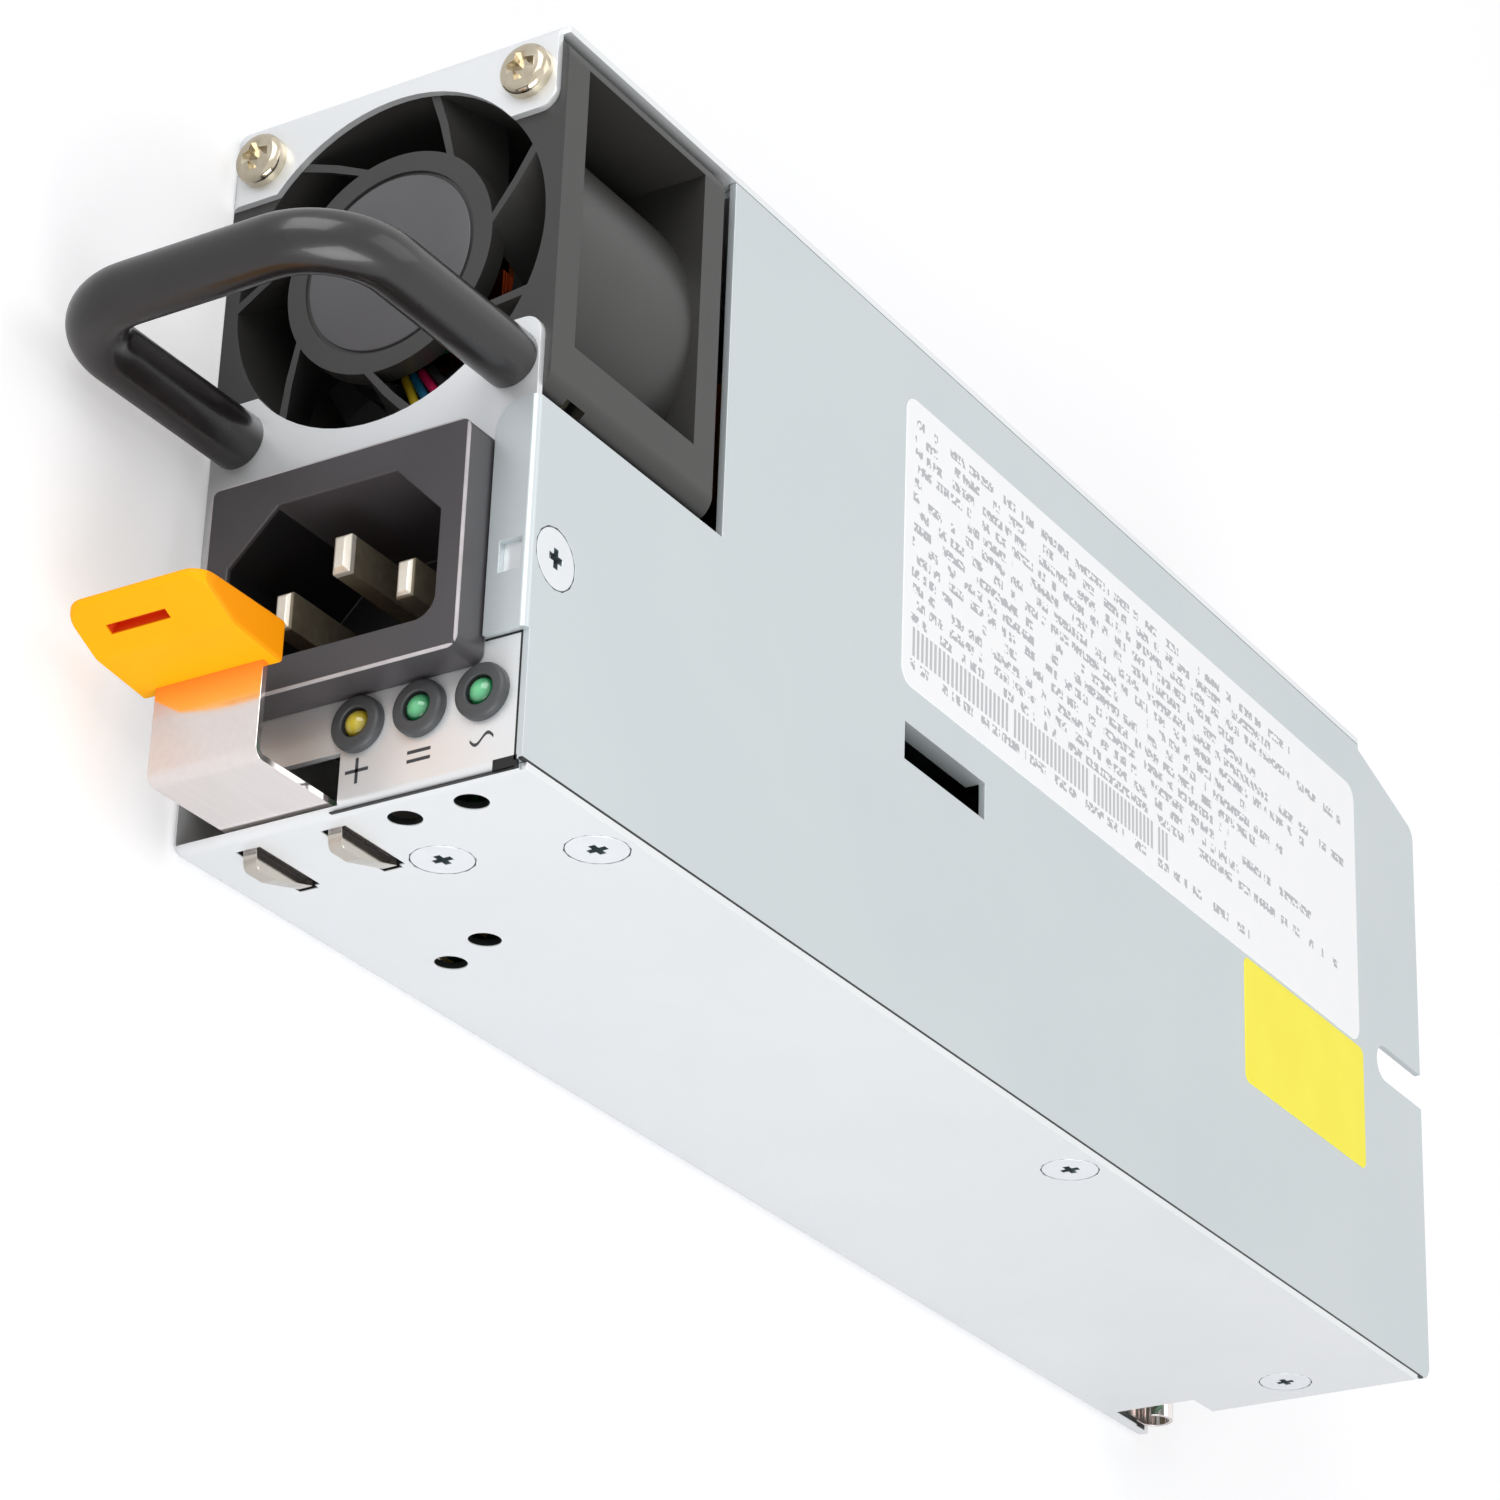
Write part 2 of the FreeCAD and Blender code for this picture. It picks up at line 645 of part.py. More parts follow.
def cover():
    """The label side: a flat lid with a front flange and turned-down screw flanges."""
    edge = INNER - SHEET_GAP
    top = CASE_HEIGHT + CUT_PAST
    low = LID_UNDER - CUT_PAST
    lid = box(-edge, edge, -SHEET, CASE_LENGTH, LID_UNDER, CASE_HEIGHT)
    key_y = CASE_LENGTH - KEY_DEEP + KEY_WIDE / 2
    lid = lid.cut([
        box(-HALF, FLANGE_X0, -SHEET - 1, 0, low, top),
        box(FLANGE_X1, HALF, -SHEET - 1, 0, low, top),
        box(-HALF, COVER_NEAR, -SHEET - 1, COVER_REACH, low, top),
        ear_cut(low, top),
        box(KEY_X - KEY_WIDE / 2, KEY_X + KEY_WIDE / 2, key_y, CASE_LENGTH + 1, low, top),
        rod(KEY_WIDE / 2, (KEY_X, key_y, low), (KEY_X, key_y, top)),
        box(SLOT_X, SLOT_X + SLOT_WIDE, SLOT_Y, SLOT_Y + SLOT_LONG, low, top)])
    flange = box(COVER_NEAR, FLANGE_X1, -SHEET, 0, CASE_HEIGHT - FLANGE_DROP, CASE_HEIGHT)
    corner = [e for e in edges_along(flange, Vector(0, 1, 0))
              if e.Vertexes[0].Z < LID_UNDER and e.Vertexes[0].X < FLANGE_X1 - 1]
    flange = flange.makeFillet(FLANGE_CORNER, corner)
    lid = lid.fuse(flange).removeSplitter()
    bend = [e for e in edges_along(lid, Vector(1, 0, 0))
            if e.Vertexes[0].Y < -SHEET + 0.01 and e.Vertexes[0].Z > CASE_HEIGHT - 0.01]
    lid = lid.makeFillet(FLANGE_BEND, bend)
    hook = FLANGE_X0 + HOOK_IN
    lid = lid.cut([
        box(hook, hook + HOOK_WIDE, -SHEET - 1, 0, CASE_HEIGHT - HOOK_LOW,
            CASE_HEIGHT - HOOK_HIGH),
        flat_head((LID_SCREW_X, LID_SCREW_Y, CASE_HEIGHT), (0, 0, -1), HOLE_EASE)])

    turned = [box(SLOT_X - SHEET, SLOT_X, SLOT_Y, SLOT_Y + SLOT_LONG,
                  LID_UNDER - SLOT_TURN, CASE_HEIGHT - SLOT_TURN_LOW),
              box(SLOT_X - SHEET, SLOT_X + SLOT_WIDE, SLOT_Y - SHEET, SLOT_Y,
                  LID_UNDER - SLOT_TURN, CASE_HEIGHT - SLOT_TURN_LOW)]
    sides = [box(-edge, -edge + SHEET, COVER_REACH + SIDE_FLANGE_GAP, SIDE_FLANGE_REAR,
                 LID_UNDER - SIDE_FLANGE, LID_UNDER),
             box(edge - SHEET, edge, SIDE_FLANGE_FRONT, SIDE_FLANGE_REAR,
                 LID_UNDER - SIDE_FLANGE, LID_UNDER)]
    lid = fuse_all([lid] + turned + sides)
    tips = [e for e in edges_along(lid, Vector(0, 0, 1))
            if e.Vertexes[0].Y > CASE_LENGTH - 0.1 and abs(e.Vertexes[0].X - KEY_X) > KEY_WIDE]
    return lid.makeFillet(COVER_CORNER, tips)


def rear_grille():
    """The rear wall with its air holes, board slot and screw lips."""
    edge = INNER - SHEET_GAP
    front = WALL_REAR - SHEET
    plate = box(-edge, edge, front, WALL_REAR, SHEET, LID_UNDER)
    lip = box(-edge, -edge + SHEET, WALL_REAR - GRILLE_LIP, WALL_REAR, SHEET, LID_UNDER)
    guard = box(edge - SHEET, edge, front, WALL_REAR + GUARD_PAST,
                NOTCH_Z1 + GUARD_ABOVE, LID_UNDER)
    plate = fuse_all([plate, lip, guard])
    slot_top = BOARD_TOP + BOARD_SLOT_EASE
    holes = [box(-edge + BOARD_SLOT_SIDE, edge + 1, front - 1, WALL_REAR + 1,
                 BOARD_Z - BOARD_SLOT_EASE, slot_top)]
    high = GRILLE_HOLE * 2 / math.sqrt(3)
    rise = GRILLE_PITCH * math.sqrt(3) / 2
    rows = int((LID_UNDER - slot_top - 2 * GRILLE_EDGE - high) / rise) + 1
    count = int((2 * (edge - GRILLE_SIDE) - GRILLE_HOLE) / GRILLE_PITCH) + 1
    base = (slot_top + LID_UNDER - (rows - 1) * rise) / 2
    for row in range(rows):
        held = count - row % 2
        for i in range(held):
            x = (i - (held - 1) / 2) * GRILLE_PITCH
            outline = hexagon(x, base + row * rise, GRILLE_HOLE)
            holes.append(slab_xz(outline, front - 1, WALL_REAR + 1))
    return plate.cut(holes)


def vane_outline(y, turn):
    """One guide vane's section, bowed from the motor base out to the frame."""
    root = MOTOR_BASE / 2 - VANE_ROOT
    reach = FAN_BORE / 2 + FAN_WALL / 2
    near, far = [], []
    for i in range(VANE_STEPS + 1):
        t = i / VANE_STEPS
        radius = root + t * (reach - root)
        angle = VANE_PHASE + turn + VANE_SWEEP * t * (1 + VANE_BOW * (1 - t))
        half = math.degrees(VANE_THICK / 2 / radius)
        near.append(ring_point(radius, angle - half, y))
        far.append(ring_point(radius, angle + half, y))
    points = near + far[::-1]
    return Part.makePolygon(points + points[:1])


def fan_pockets():
    """The four hollows between the flanges, outside the duct, open at top and bottom."""
    y0 = FAN_FRONT + FAN_FLANGE
    y1 = FAN_REAR - FAN_FLANGE
    x0 = FAN_X - FAN_SIZE / 2 + FAN_SIDE_WALL
    room = box(x0, FAN_SIDE - FAN_POST, y0, y1, -CUT_PAST, FAN_SIZE + CUT_PAST)
    return room.cut(fan_disc(FAN_BORE / 2 + FAN_WALL, y0 - 1, y1 + 1))


def lead_gate():
    """The gap in the fan's side that the motor's leads pass through."""
    first = math.radians(lead_angle(0))
    last = math.radians(lead_angle(LEAD_COUNT - 1))
    x0 = FAN_X + FAN_BORE / 2 * math.cos(last) - 1
    half = LEAD_THICK / 2 + LEAD_ROOM / 2
    return box(x0, FAN_SIDE + 1, LEAD_Y - half, LEAD_Y + half,
               FAN_Z + FAN_BORE / 2 * math.sin(first) - LEAD_ROOM,
               FAN_Z + FAN_SIZE / 2 * math.tan(last) + LEAD_ROOM)


def nut_room(x, z):
    """The space beside the post's front end where a handle nut is turned."""
    y0 = FAN_FRONT + FAN_FLANGE
    return box(x - NUT_ROOM, FAN_SIDE + 1, y0, y0 + NUT_THICK + STUD_PAST,
               z - NUT_ROOM, z + NUT_ROOM)


def fan_frame():
    """Square flanges, the round duct, side walls and the motor base on its guide vanes."""
    x0 = FAN_X - FAN_SIZE / 2
    frame = round_box(x0, FAN_SIDE, FAN_FRONT, FAN_REAR, 0, FAN_SIZE,
                      FAN_CORNER, Vector(0, 1, 0))
    frame = frame.cut([fan_disc(FAN_BORE / 2, -1, FAN_REAR + 1), fan_pockets()])
    corners = fan_corners()
    screws = [peg(FAN_HOLE, (x, -1, z), (x, FAN_FRONT + FAN_FLANGE + 1, z))
              for x, z in corners]
    frame = frame.cut(screws + [nut_room(x, z) for x, z in corners[2:]] + [lead_gate()])
    vanes = []
    for i in range(VANE_COUNT):
        turn = i * 360.0 / VANE_COUNT
        ends = [vane_outline(FAN_FRONT, turn),
                vane_outline(FAN_FRONT + VANE_DEPTH, turn + VANE_TWIST)]
        vanes.append(Part.makeLoft(ends, True, True))
    base = fan_disc(MOTOR_BASE / 2, FAN_FRONT, FAN_FRONT + MOTOR_BASE_THICK)
    label = fan_disc(MOTOR_LABEL / 2, FAN_FRONT - 1, FAN_FRONT + MOTOR_LABEL_DEEP)
    return frame.fuse(vanes + [base]).cut(label).removeSplitter()


def fan_bearing():
    """The bearing tube on the motor base, which also carries the stator."""
    y0 = FAN_FRONT + MOTOR_BASE_THICK
    tube = fan_disc(BEARING_OUTER / 2, y0, BEARING_REAR)
    return tube.cut(fan_disc(SHAFT / 2 + SHAFT_FIT, y0 + 1, FAN_REAR))


def fan_shaft():
    return fan_disc(SHAFT / 2, FAN_FRONT + MOTOR_BASE_THICK + SHAFT_FLOOR,
                    ROTOR_REAR - ROTOR_SKIN)


def fan_stator():
    """The laminated core with its wound poles, pressed on the bearing tube."""
    y0 = ROTOR_FRONT + STATOR_SHORT
    y1 = BEARING_REAR - STATOR_SHORT
    inside = ROTOR_HUB / 2 - ROTOR_SKIN - MAGNET_THICK - STATOR_GAP
    reach = math.sqrt(inside ** 2 - (SHOE_WIDE / 2) ** 2)
    yoke = YOKE_WIDE / 2
    parts = [box(FAN_X - yoke, FAN_X + yoke, y0, y1, FAN_Z - yoke, FAN_Z + yoke)]
    for i in range(STATOR_POLES):
        arm = box(FAN_X, FAN_X + reach, y0, y1, FAN_Z - POLE_WIDE / 2, FAN_Z + POLE_WIDE / 2)
        shoe = box(FAN_X + reach - SHOE_THICK, FAN_X + reach, y0, y1,
                   FAN_Z - SHOE_WIDE / 2, FAN_Z + SHOE_WIDE / 2)
        coil = box(FAN_X, FAN_X + reach - SHOE_THICK, y0 - COIL_OVER, y1 + COIL_OVER,
                   FAN_Z - COIL_WIDE / 2, FAN_Z + COIL_WIDE / 2)
        pole = arm.fuse([shoe, coil])
        pole.rotate(Vector(FAN_X, 0, FAN_Z), Vector(0, 1, 0), i * 360 / STATOR_POLES)
        parts.append(pole)
    return fuse_all(parts).cut(fan_disc(BEARING_OUTER / 2, 0, FAN_REAR))


def blade_section(radius, pitch, along):
    """A cambered blade section, standing at one radius and facing outwards."""
    turn = math.radians(pitch)
    mid_y = (ROTOR_FRONT + ROTOR_REAR) / 2
    points = []
    lead, front, rear, tail = [s * BLADE_CHORD for s in BLADE_STATIONS]
    upper = BLADE_CAMBER + BLADE_THICK / 2
    lower = BLADE_CAMBER - BLADE_THICK / 2
    for run, rise in ((lead, 0), (front, upper), (rear, upper), (tail, 0),
                      (rear, lower), (front, lower)):
        side = run * math.cos(turn) - rise * math.sin(turn)
        deep = run * math.sin(turn) + rise * math.cos(turn)
        points.append(Vector(FAN_X + radius, mid_y + deep, FAN_Z + side + along))
    return Part.makePolygon(points + points[:1])


def fan_rotor():
    """The hub cup, open towards the motor base, with its swept blades."""
    hub = fan_disc(ROTOR_HUB / 2, ROTOR_FRONT, ROTOR_REAR)
    tip = FAN_BORE / 2 - BLADE_TIP_GAP
    blades = []
    for i in range(BLADE_COUNT):
        sections = [blade_section(ROTOR_HUB / 2 - BLADE_ROOT, BLADE_PITCH + BLADE_TWIST / 2, 0),
                    blade_section(tip + 1, BLADE_PITCH - BLADE_TWIST / 2, BLADE_SKEW)]
        blade = Part.makeLoft(sections, True, True)
        blade.rotate(Vector(FAN_X, 0, FAN_Z), Vector(0, 1, 0), i * 360 / BLADE_COUNT)
        blades.append(blade)
    wheel = hub.fuse(blades).common(fan_disc(tip, ROTOR_FRONT, ROTOR_REAR))
    cavity = fan_disc(ROTOR_HUB / 2 - ROTOR_SKIN, ROTOR_FRONT - 1, ROTOR_REAR - ROTOR_SKIN)
    return wheel.cut(cavity).removeSplitter()


def fan_magnet():
    radius = ROTOR_HUB / 2 - ROTOR_SKIN
    ring = fan_disc(radius, ROTOR_FRONT, ROTOR_REAR - ROTOR_SKIN - MAGNET_SHORT)
    return ring.cut(fan_disc(radius - MAGNET_THICK, 0, FAN_REAR))


def fan_circuit():
    """The small board behind the motor base, where the leads are soldered."""
    y0 = FAN_FRONT + MOTOR_BASE_THICK
    plate = slab_xz(hexagon(FAN_X, FAN_Z, CIRCUIT_FLATS), y0, y0 + CIRCUIT_THICK)
    return plate.cut(fan_disc(BEARING_OUTER / 2, 0, FAN_REAR))


def mitred_path(points, radii, steps):
    """The points of a route whose corners are bends of short straight runs."""
    corners = [Vector(*p) for p in points]
    route = [corners[0]]
    for i in range(1, len(corners) - 1):
        back = (corners[i - 1] - corners[i]).normalize()
        ahead = (corners[i + 1] - corners[i]).normalize()
        half = back.getAngle(ahead) / 2
        middle = (back + ahead).normalize()
        radius = radii[i - 1]
        centre = corners[i] + middle * (radius / math.sin(half))
        arm = corners[i] + back * (radius / math.tan(half)) - centre
        axis = arm.cross(middle * -1)
        sweep = 180 - math.degrees(2 * half)
        reach = 1 / math.cos(math.radians(sweep / steps / 2))
        for k in range(steps):
            turn = FreeCAD.Rotation(axis, sweep * (k + 0.5) / steps)
            route.append(centre + turn.multVec(arm) * reach)
    return route + [corners[-1]]


def swept(profile, route):
    """A profile carried along straight runs, mitred where they meet."""
    spine = Part.makePolygon(route)
    return spine.makePipeShell([profile], True, False, 1)


def round_bar(points, radii, thick, steps):
    route = mitred_path(points, radii, steps)
    first = (route[1] - route[0]).normalize()
    ring = Part.Wire(Part.makeCircle(thick / 2, route[0], first))
    return swept(ring, route)


def lead(points, radii, thick):
    """A wire of few flat sides, the same thickness all along."""
    route = mitred_path(points, radii, LEAD_BEND_STEPS)
    first = (route[1] - route[0]).normalize()
    other = Vector(0, 0, 1) if abs(first.z) < 0.9 else Vector(1, 0, 0)
    side = first.cross(other).normalize()
    up = first.cross(side)
    ring = []
    for i in range(LEAD_SIDES + 1):
        turn = math.radians(360.0 / LEAD_SIDES * i)
        ring.append(route[0] + side * (thick / 2 * math.cos(turn))
                    + up * (thick / 2 * math.sin(turn)))
    return swept(Part.makePolygon(ring), route)


def handle():
    """The round bail, with a threaded stud at each foot."""
    (x, z0), (_, z1) = fan_corners()[2:]
    reach = -HANDLE_REACH
    bail = round_bar([(x, 0, z0), (x, reach, z0), (x, reach, z1), (x, 0, z1)],
                     [HANDLE_BEND, HANDLE_BEND], HANDLE_BAR, HANDLE_STEPS)
    end = FAN_FRONT + FAN_FLANGE + NUT_THICK + STUD_PAST
    studs = [peg(HANDLE_STUD, (x, 0, z), (x, end, z)) for z in (z0, z1)]
    return bail.fuse(studs).removeSplitter()


def handle_nut(x, z):
    y0 = FAN_FRONT + FAN_FLANGE
    nut = slab_xz(hexagon(x, z, NUT_FLATS, NUT_TURN), y0, y0 + NUT_THICK)
    return nut.cut(peg(HANDLE_STUD, (x, 0, z), (x, FAN_REAR, z)))


def pan_screw(x, z):
    """A round head and the shank through the face into the fan's flange."""
    head = peg(PAN_HEAD, (x, 0, z), (x, -PAN_HEIGHT, z))
    return head.fuse(peg(FAN_SCREW, (x, 0, z), (x, FAN_SCREW_LENGTH, z)))


def inlet_housing():
    """The moulded mains inlet: square flange, plug recess and the body behind the face."""
    flange = round_box(INLET_X0, INLET_X1, -INLET_STAND, 0, INLET_Z0, INLET_Z1,
                       INLET_CORNER, Vector(0, 1, 0))
    body = flange.fuse(inlet_body(0, 0, INLET_REAR)).removeSplitter()
    x0, x1, z0, z1 = recess_bounds()
    recess = inlet_outline(x0, x1, z0, z1, RECESS_CHAMFER, RECESS_ROUND,
                           -INLET_STAND - 1, -INLET_STAND + RECESS_DEPTH)
    slits = [box(x - PIN_WIDE / 2, x + PIN_WIDE / 2, 0, INLET_REAR + 1,
                 z - PIN_THIN / 2, z + PIN_THIN / 2) for x, z in pin_points()]
    return body.cut([recess] + slits)


def pin_points():
    """Earth, line and neutral, seen from the front."""
    mid_x = (INLET_X0 + INLET_X1) / 2
    mid_z = (INLET_Z0 + INLET_Z1) / 2
    return [(mid_x - PIN_OFFSET / 2, mid_z), (mid_x + PIN_OFFSET / 2, mid_z - PIN_SPACING / 2),
            (mid_x + PIN_OFFSET / 2, mid_z + PIN_SPACING / 2)]


def inlet_pin(index):
    """A flat blade with a chamfered tip and a solder terminal behind the housing."""
    x, z = pin_points()[index]
    front = -INLET_STAND + PIN_SHORT - (EARTH_LEAD if index == 0 else 0)
    blade = box(x - PIN_WIDE / 2, x + PIN_WIDE / 2, front, INLET_REAR,
                z - PIN_THIN / 2, z + PIN_THIN / 2)
    tip = [e for e in blade.Edges if e.BoundBox.YMax < front + 0.01]
    blade = blade.makeChamfer(PIN_CHAMFER, tip)
    tag = box(x - PIN_WIDE / 2, x + PIN_WIDE / 2, INLET_REAR, INLET_REAR + TERMINAL_LONG,
              z - TERMINAL_THIN / 2, z + TERMINAL_THIN / 2)
    return blade.fuse(tag)


def inlet_lead(index):
    """A lead from one inlet terminal to the board."""
    x, z = pin_points()[index]
    y = BOARD_FRONT + INLET_WIRE_DROP + (INLET_WIRE_STEP if index == 2 else 0)
    return lead([(x, INLET_REAR + TERMINAL_LONG, z), (x, y, z), (x, y, BOARD_TOP)],
                [INLET_WIRE_CORNER], INLET_WIRE)


def lamp_bezel(x, z):
    ring = peg(LAMP_RING, (x, -LAMP_RING_HEIGHT, z), (x, 0, z))
    return ring.cut(peg(LAMP_LENS, (x, -LAMP_RING_HEIGHT - 1, z), (x, 1, z)))


def lamp(x, z):
    """A lens that reaches back through its ring and the face to the lamp board."""
    return peg(LAMP_LENS, (x, -LAMP_RING_HEIGHT - LAMP_PROUD, z), (x, LAMP_BOARD_Y, z))


def lamp_board():
    """The small upright board behind the lamps."""
    half = LAMP_LENS / 2 + LAMP_BOARD_EDGE
    return box(LAMP_X - half, INNER - LAMP_BOARD_SIDE, LAMP_BOARD_Y,
               LAMP_BOARD_Y + LAMP_BOARD_THICK, LAMP_Z - LAMP_LENS / 2,
               LAMP_Z + (LAMP_COUNT - 1) * LAMP_PITCH + LAMP_BOARD_EDGE)


def lamp_bracket():
    """The bent bracket between the lamp board and the wall's inner screw."""
    y0 = LAMP_BOARD_Y + LAMP_BOARD_THICK
    z0 = WALL_SCREW_LAMP_Z - BRACKET_BELOW
    plate = box(INNER - BRACKET_THICK, INNER, y0, WALL_SCREW_LAMP + FLAT_HEAD / 2,
                z0, z0 + BRACKET_HIGH)
    foot = box(LAMP_X, INNER, y0, y0 + BRACKET_THICK, z0, z0 + BRACKET_HIGH)
    return fuse_all([plate, foot])


def latch_spring():
    """The leaf inside the wall, its two catches, and the strip to the finger tab."""
    inside = LATCH_X - LATCH_SHEET
    leaf = box(inside, LATCH_X, -LATCH_OUT, LATCH_PIVOT, LATCH_Z0, LATCH_Z1)
    rise = box(LATCH_X - LATCH_RISE, LATCH_X, -LATCH_OUT, -LATCH_OUT + LATCH_SHEET,
               LATCH_Z0, LATCH_Z1)
    strip = leaf.fuse(rise).removeSplitter()
    outer = [e for e in edges_along(strip, Vector(0, 0, 1))
             if e.Vertexes[0].X > LATCH_X - 0.01 and e.Vertexes[0].Y < -1]
    strip = strip.makeFillet(LATCH_BEND, outer)
    inner = [e for e in edges_along(strip, Vector(0, 0, 1))
             if abs(e.Vertexes[0].X - inside) < 0.01 and -LATCH_OUT < e.Vertexes[0].Y < -1]
    strip = strip.makeFillet(LATCH_BEND - LATCH_SHEET, inner)
    return fuse_all([strip] + [catch(z) for z in CATCH_HEIGHTS])


def catch(z):
    """A wedge that stands out of the wall, steep towards the front."""
    tip = HALF + CATCH_PROUD
    root = LATCH_X - LATCH_SHEET
    nose = slab_xy([(root, CATCH_FRONT), (LATCH_X, CATCH_FRONT), (tip, CATCH_FRONT + CATCH_LEAD),
                    (tip, CATCH_FRONT + CATCH_CREST), (HALF, CATCH_REAR), (root, CATCH_REAR)],
                   z - CATCH_THICK / 2, z + CATCH_THICK / 2)
    corner = [e for e in edges_along(nose, Vector(0, 0, 1)) if e.Vertexes[0].X > tip - 0.01]
    return nose.makeFillet(CATCH_ROUND, corner)


def latch_foot():
    """The fixed end of the leaf, welded to the wall round a window for the wall's holes."""
    y0 = LATCH_PIVOT + LATCH_GAP
    foot = box(INNER - LATCH_SHEET, INNER, y0, LATCH_FOOT, LATCH_Z0, LATCH_Z1)
    return foot.cut(box(INNER - CUT_PAST, HALF, y0 + FOOT_RIM, LATCH_FOOT - FOOT_RIM,
                        LATCH_Z0 + FOOT_RIM, LATCH_Z1 - FOOT_RIM))


def latch_tab():
    """The orange finger tab moulded over the end of the strip, with its grip groove."""
    x = INNER - TAB_INSET
    tip = Vector(x + TAB_TIP, -TAB_REACH, 0)
    kink = Vector(x + TAB_KINK_IN, -TAB_KINK_Y, 0)
    body = slab_xy([(x, tip.y), (tip.x, tip.y), (kink.x, kink.y), (x + TAB_THICK, -TAB_REAR),
                    (x, -TAB_REAR)], TAB_Z0, TAB_Z1)
    rims = [e for e in body.Edges
            if e.BoundBox.ZLength < 0.01 and e.BoundBox.XMin > x + 0.01]
    rims = [e for e in rims if e.BoundBox.YLength > TAB_TIP and e.BoundBox.XMax > tip.x + 0.01]
    body = body.makeChamfer(TAB_ROUND, rims)
    run = (kink - tip).normalize()
    inward = Vector(-run.y, run.x, 0)
    mouth = tip + run * GRIP_FROM_TIP - inward
    corners = [mouth - run * (GRIP_WIDE / 2), mouth + run * (GRIP_WIDE / 2)]
    corners += [c + inward * (GRIP_DEEP + 1) for c in corners[::-1]]
    grip = slab_xy([(c.x, c.y) for c in corners], TAB_Z0 + GRIP_LOW, TAB_Z1 - GRIP_HIGH)
    strip = box(LATCH_X - LATCH_RISE, INNER, -LATCH_OUT, -LATCH_OUT + LATCH_SHEET,
                LATCH_Z0, LATCH_Z1)
    return body.cut([grip, strip])


def main_board():
    """The circuit board; its rear tongue is the card edge that plugs into the server."""
    body = box(-BOARD_SIDE, BOARD_SIDE, BOARD_FRONT, BOARD_REAR, BOARD_Z, BOARD_TOP)
    right = BOARD_SIDE - EDGE_SIDE
    tongue = box(right - EDGE_WIDE, right, BOARD_REAR - 1, EDGE_REAR, BOARD_Z, BOARD_TOP)
    ends = [e for e in edges_along(tongue, Vector(1, 0, 0)) if e.Vertexes[0].Y > EDGE_REAR - 0.1]
    return fuse_all([body, tongue.makeChamfer(EDGE_BEVEL, ends)])


def edge_contacts():
    """The gold contact strips on both faces of the card edge."""
    right = BOARD_SIDE - EDGE_SIDE - CONTACT_SIDE
    pitch = (EDGE_WIDE - 2 * CONTACT_SIDE) / (CONTACT_COUNT - 1)
    rear = EDGE_REAR - CONTACT_REAR
    strips = []
    for i in range(CONTACT_COUNT):
        x = right - i * pitch
        for z in (BOARD_TOP, BOARD_Z - CONTACT_THICK):
            strips.append(box(x - CONTACT_WIDE / 2, x + CONTACT_WIDE / 2,
                              rear - CONTACT_LONG, rear, z, z + CONTACT_THICK))
    return Part.makeCompound(strips)


def standoff_points():
    side = BOARD_SIDE - STANDOFF_INSET
    return [(x, y) for x in (-side, side)
            for y in (BOARD_FRONT + STANDOFF_INSET, BOARD_REAR - STANDOFF_INSET)]


def insulator():
    """The plastic sheet on the floor, between the board's posts."""
    side = BOARD_SIDE - STANDOFF_INSET - STANDOFF / 2 - INSULATOR_GAP
    return box(-side, side, BOARD_FRONT + STANDOFF_INSET, BOARD_REAR - STANDOFF_INSET,
               SHEET, SHEET + INSULATOR)


def on_board(x0, y0, wide, deep, high):
    """A plain block that stands on the board."""
    return box(x0, x0 + wide, y0, y0 + deep, BOARD_TOP, BOARD_TOP + high)


def wound_core(x0, y0, wide, deep, high, yoke):
    """A core of two E halves with the winding round its middle leg, on two feet."""
    x1 = x0 + wide
    z0 = BOARD_TOP + CORE_FOOT
    z1 = BOARD_TOP + high
    front = y0 + CORE_OVER
    rear = y0 + deep - CORE_OVER
    leg = yoke * CORE_LEG / 2
    middle = (x0 + x1) / 2
    windows = [box(x0 + yoke, middle - leg, y0, y0 + deep, z0 + yoke, z1 - yoke),
               box(middle + leg, x1 - yoke, y0, y0 + deep, z0 + yoke, z1 - yoke)]
    core = box(x0, x1, front, rear, z0, z1).cut(windows)
    coil = box(x0 + yoke + CORE_FIT, x1 - yoke - CORE_FIT, y0, y0 + deep,
               z0 + yoke + CORE_FIT, z1 - yoke - CORE_FIT)
    leg += CORE_FIT
    coil = coil.cut(box(middle - leg, middle + leg, front - CORE_FIT, rear + CORE_FIT, z0, z1))
    feet = [box(x0 + CORE_FOOT, x1 - CORE_FOOT, y, y + CORE_OVER - CORE_FIT, BOARD_TOP,
                z0 + yoke + CORE_FIT) for y in (y0, rear + CORE_FIT)]
    return core, fuse_all([coil] + feet)


def heat_sink(x, y0, y1, facing):
    """An upright plate with a row of fins towards one side."""
    z1 = LID_UNDER - SINK_CLEAR
    plate = box(x - SINK_THICK / 2, x + SINK_THICK / 2, y0, y1, BOARD_TOP, z1)
    start = x + facing * SINK_THICK / 2
    end = start + facing * SINK_REACH
    pitch = (z1 - BOARD_TOP - SINK_FOOT - 2 * SINK_FIN) / (SINK_FINS - 1)
    fins = []
    for i in range(SINK_FINS):
        z = BOARD_TOP + SINK_FOOT + i * pitch
        fins.append(box(min(start, end), max(start, end), y0, y1, z, z + SINK_FIN))
    return fuse_all([plate] + fins)


def bulk_cans():
    """The two large cans that lie along the board and fill the depth between its ends."""
    radius = (ROOM - BULK_CLEAR) / 2
    y0 = BOARD_FRONT + BULK_Y
    y1 = WALL_REAR - TRANSFORMER_Y - BULK_REAR_GAP
    z = BOARD_TOP + radius
    left = -BOARD_SIDE + BULK_SIDE + radius
    return [rod(radius, (x, y0, z), (x, y1, z)) for x in (left, left + 2 * radius + BULK_GAP)]


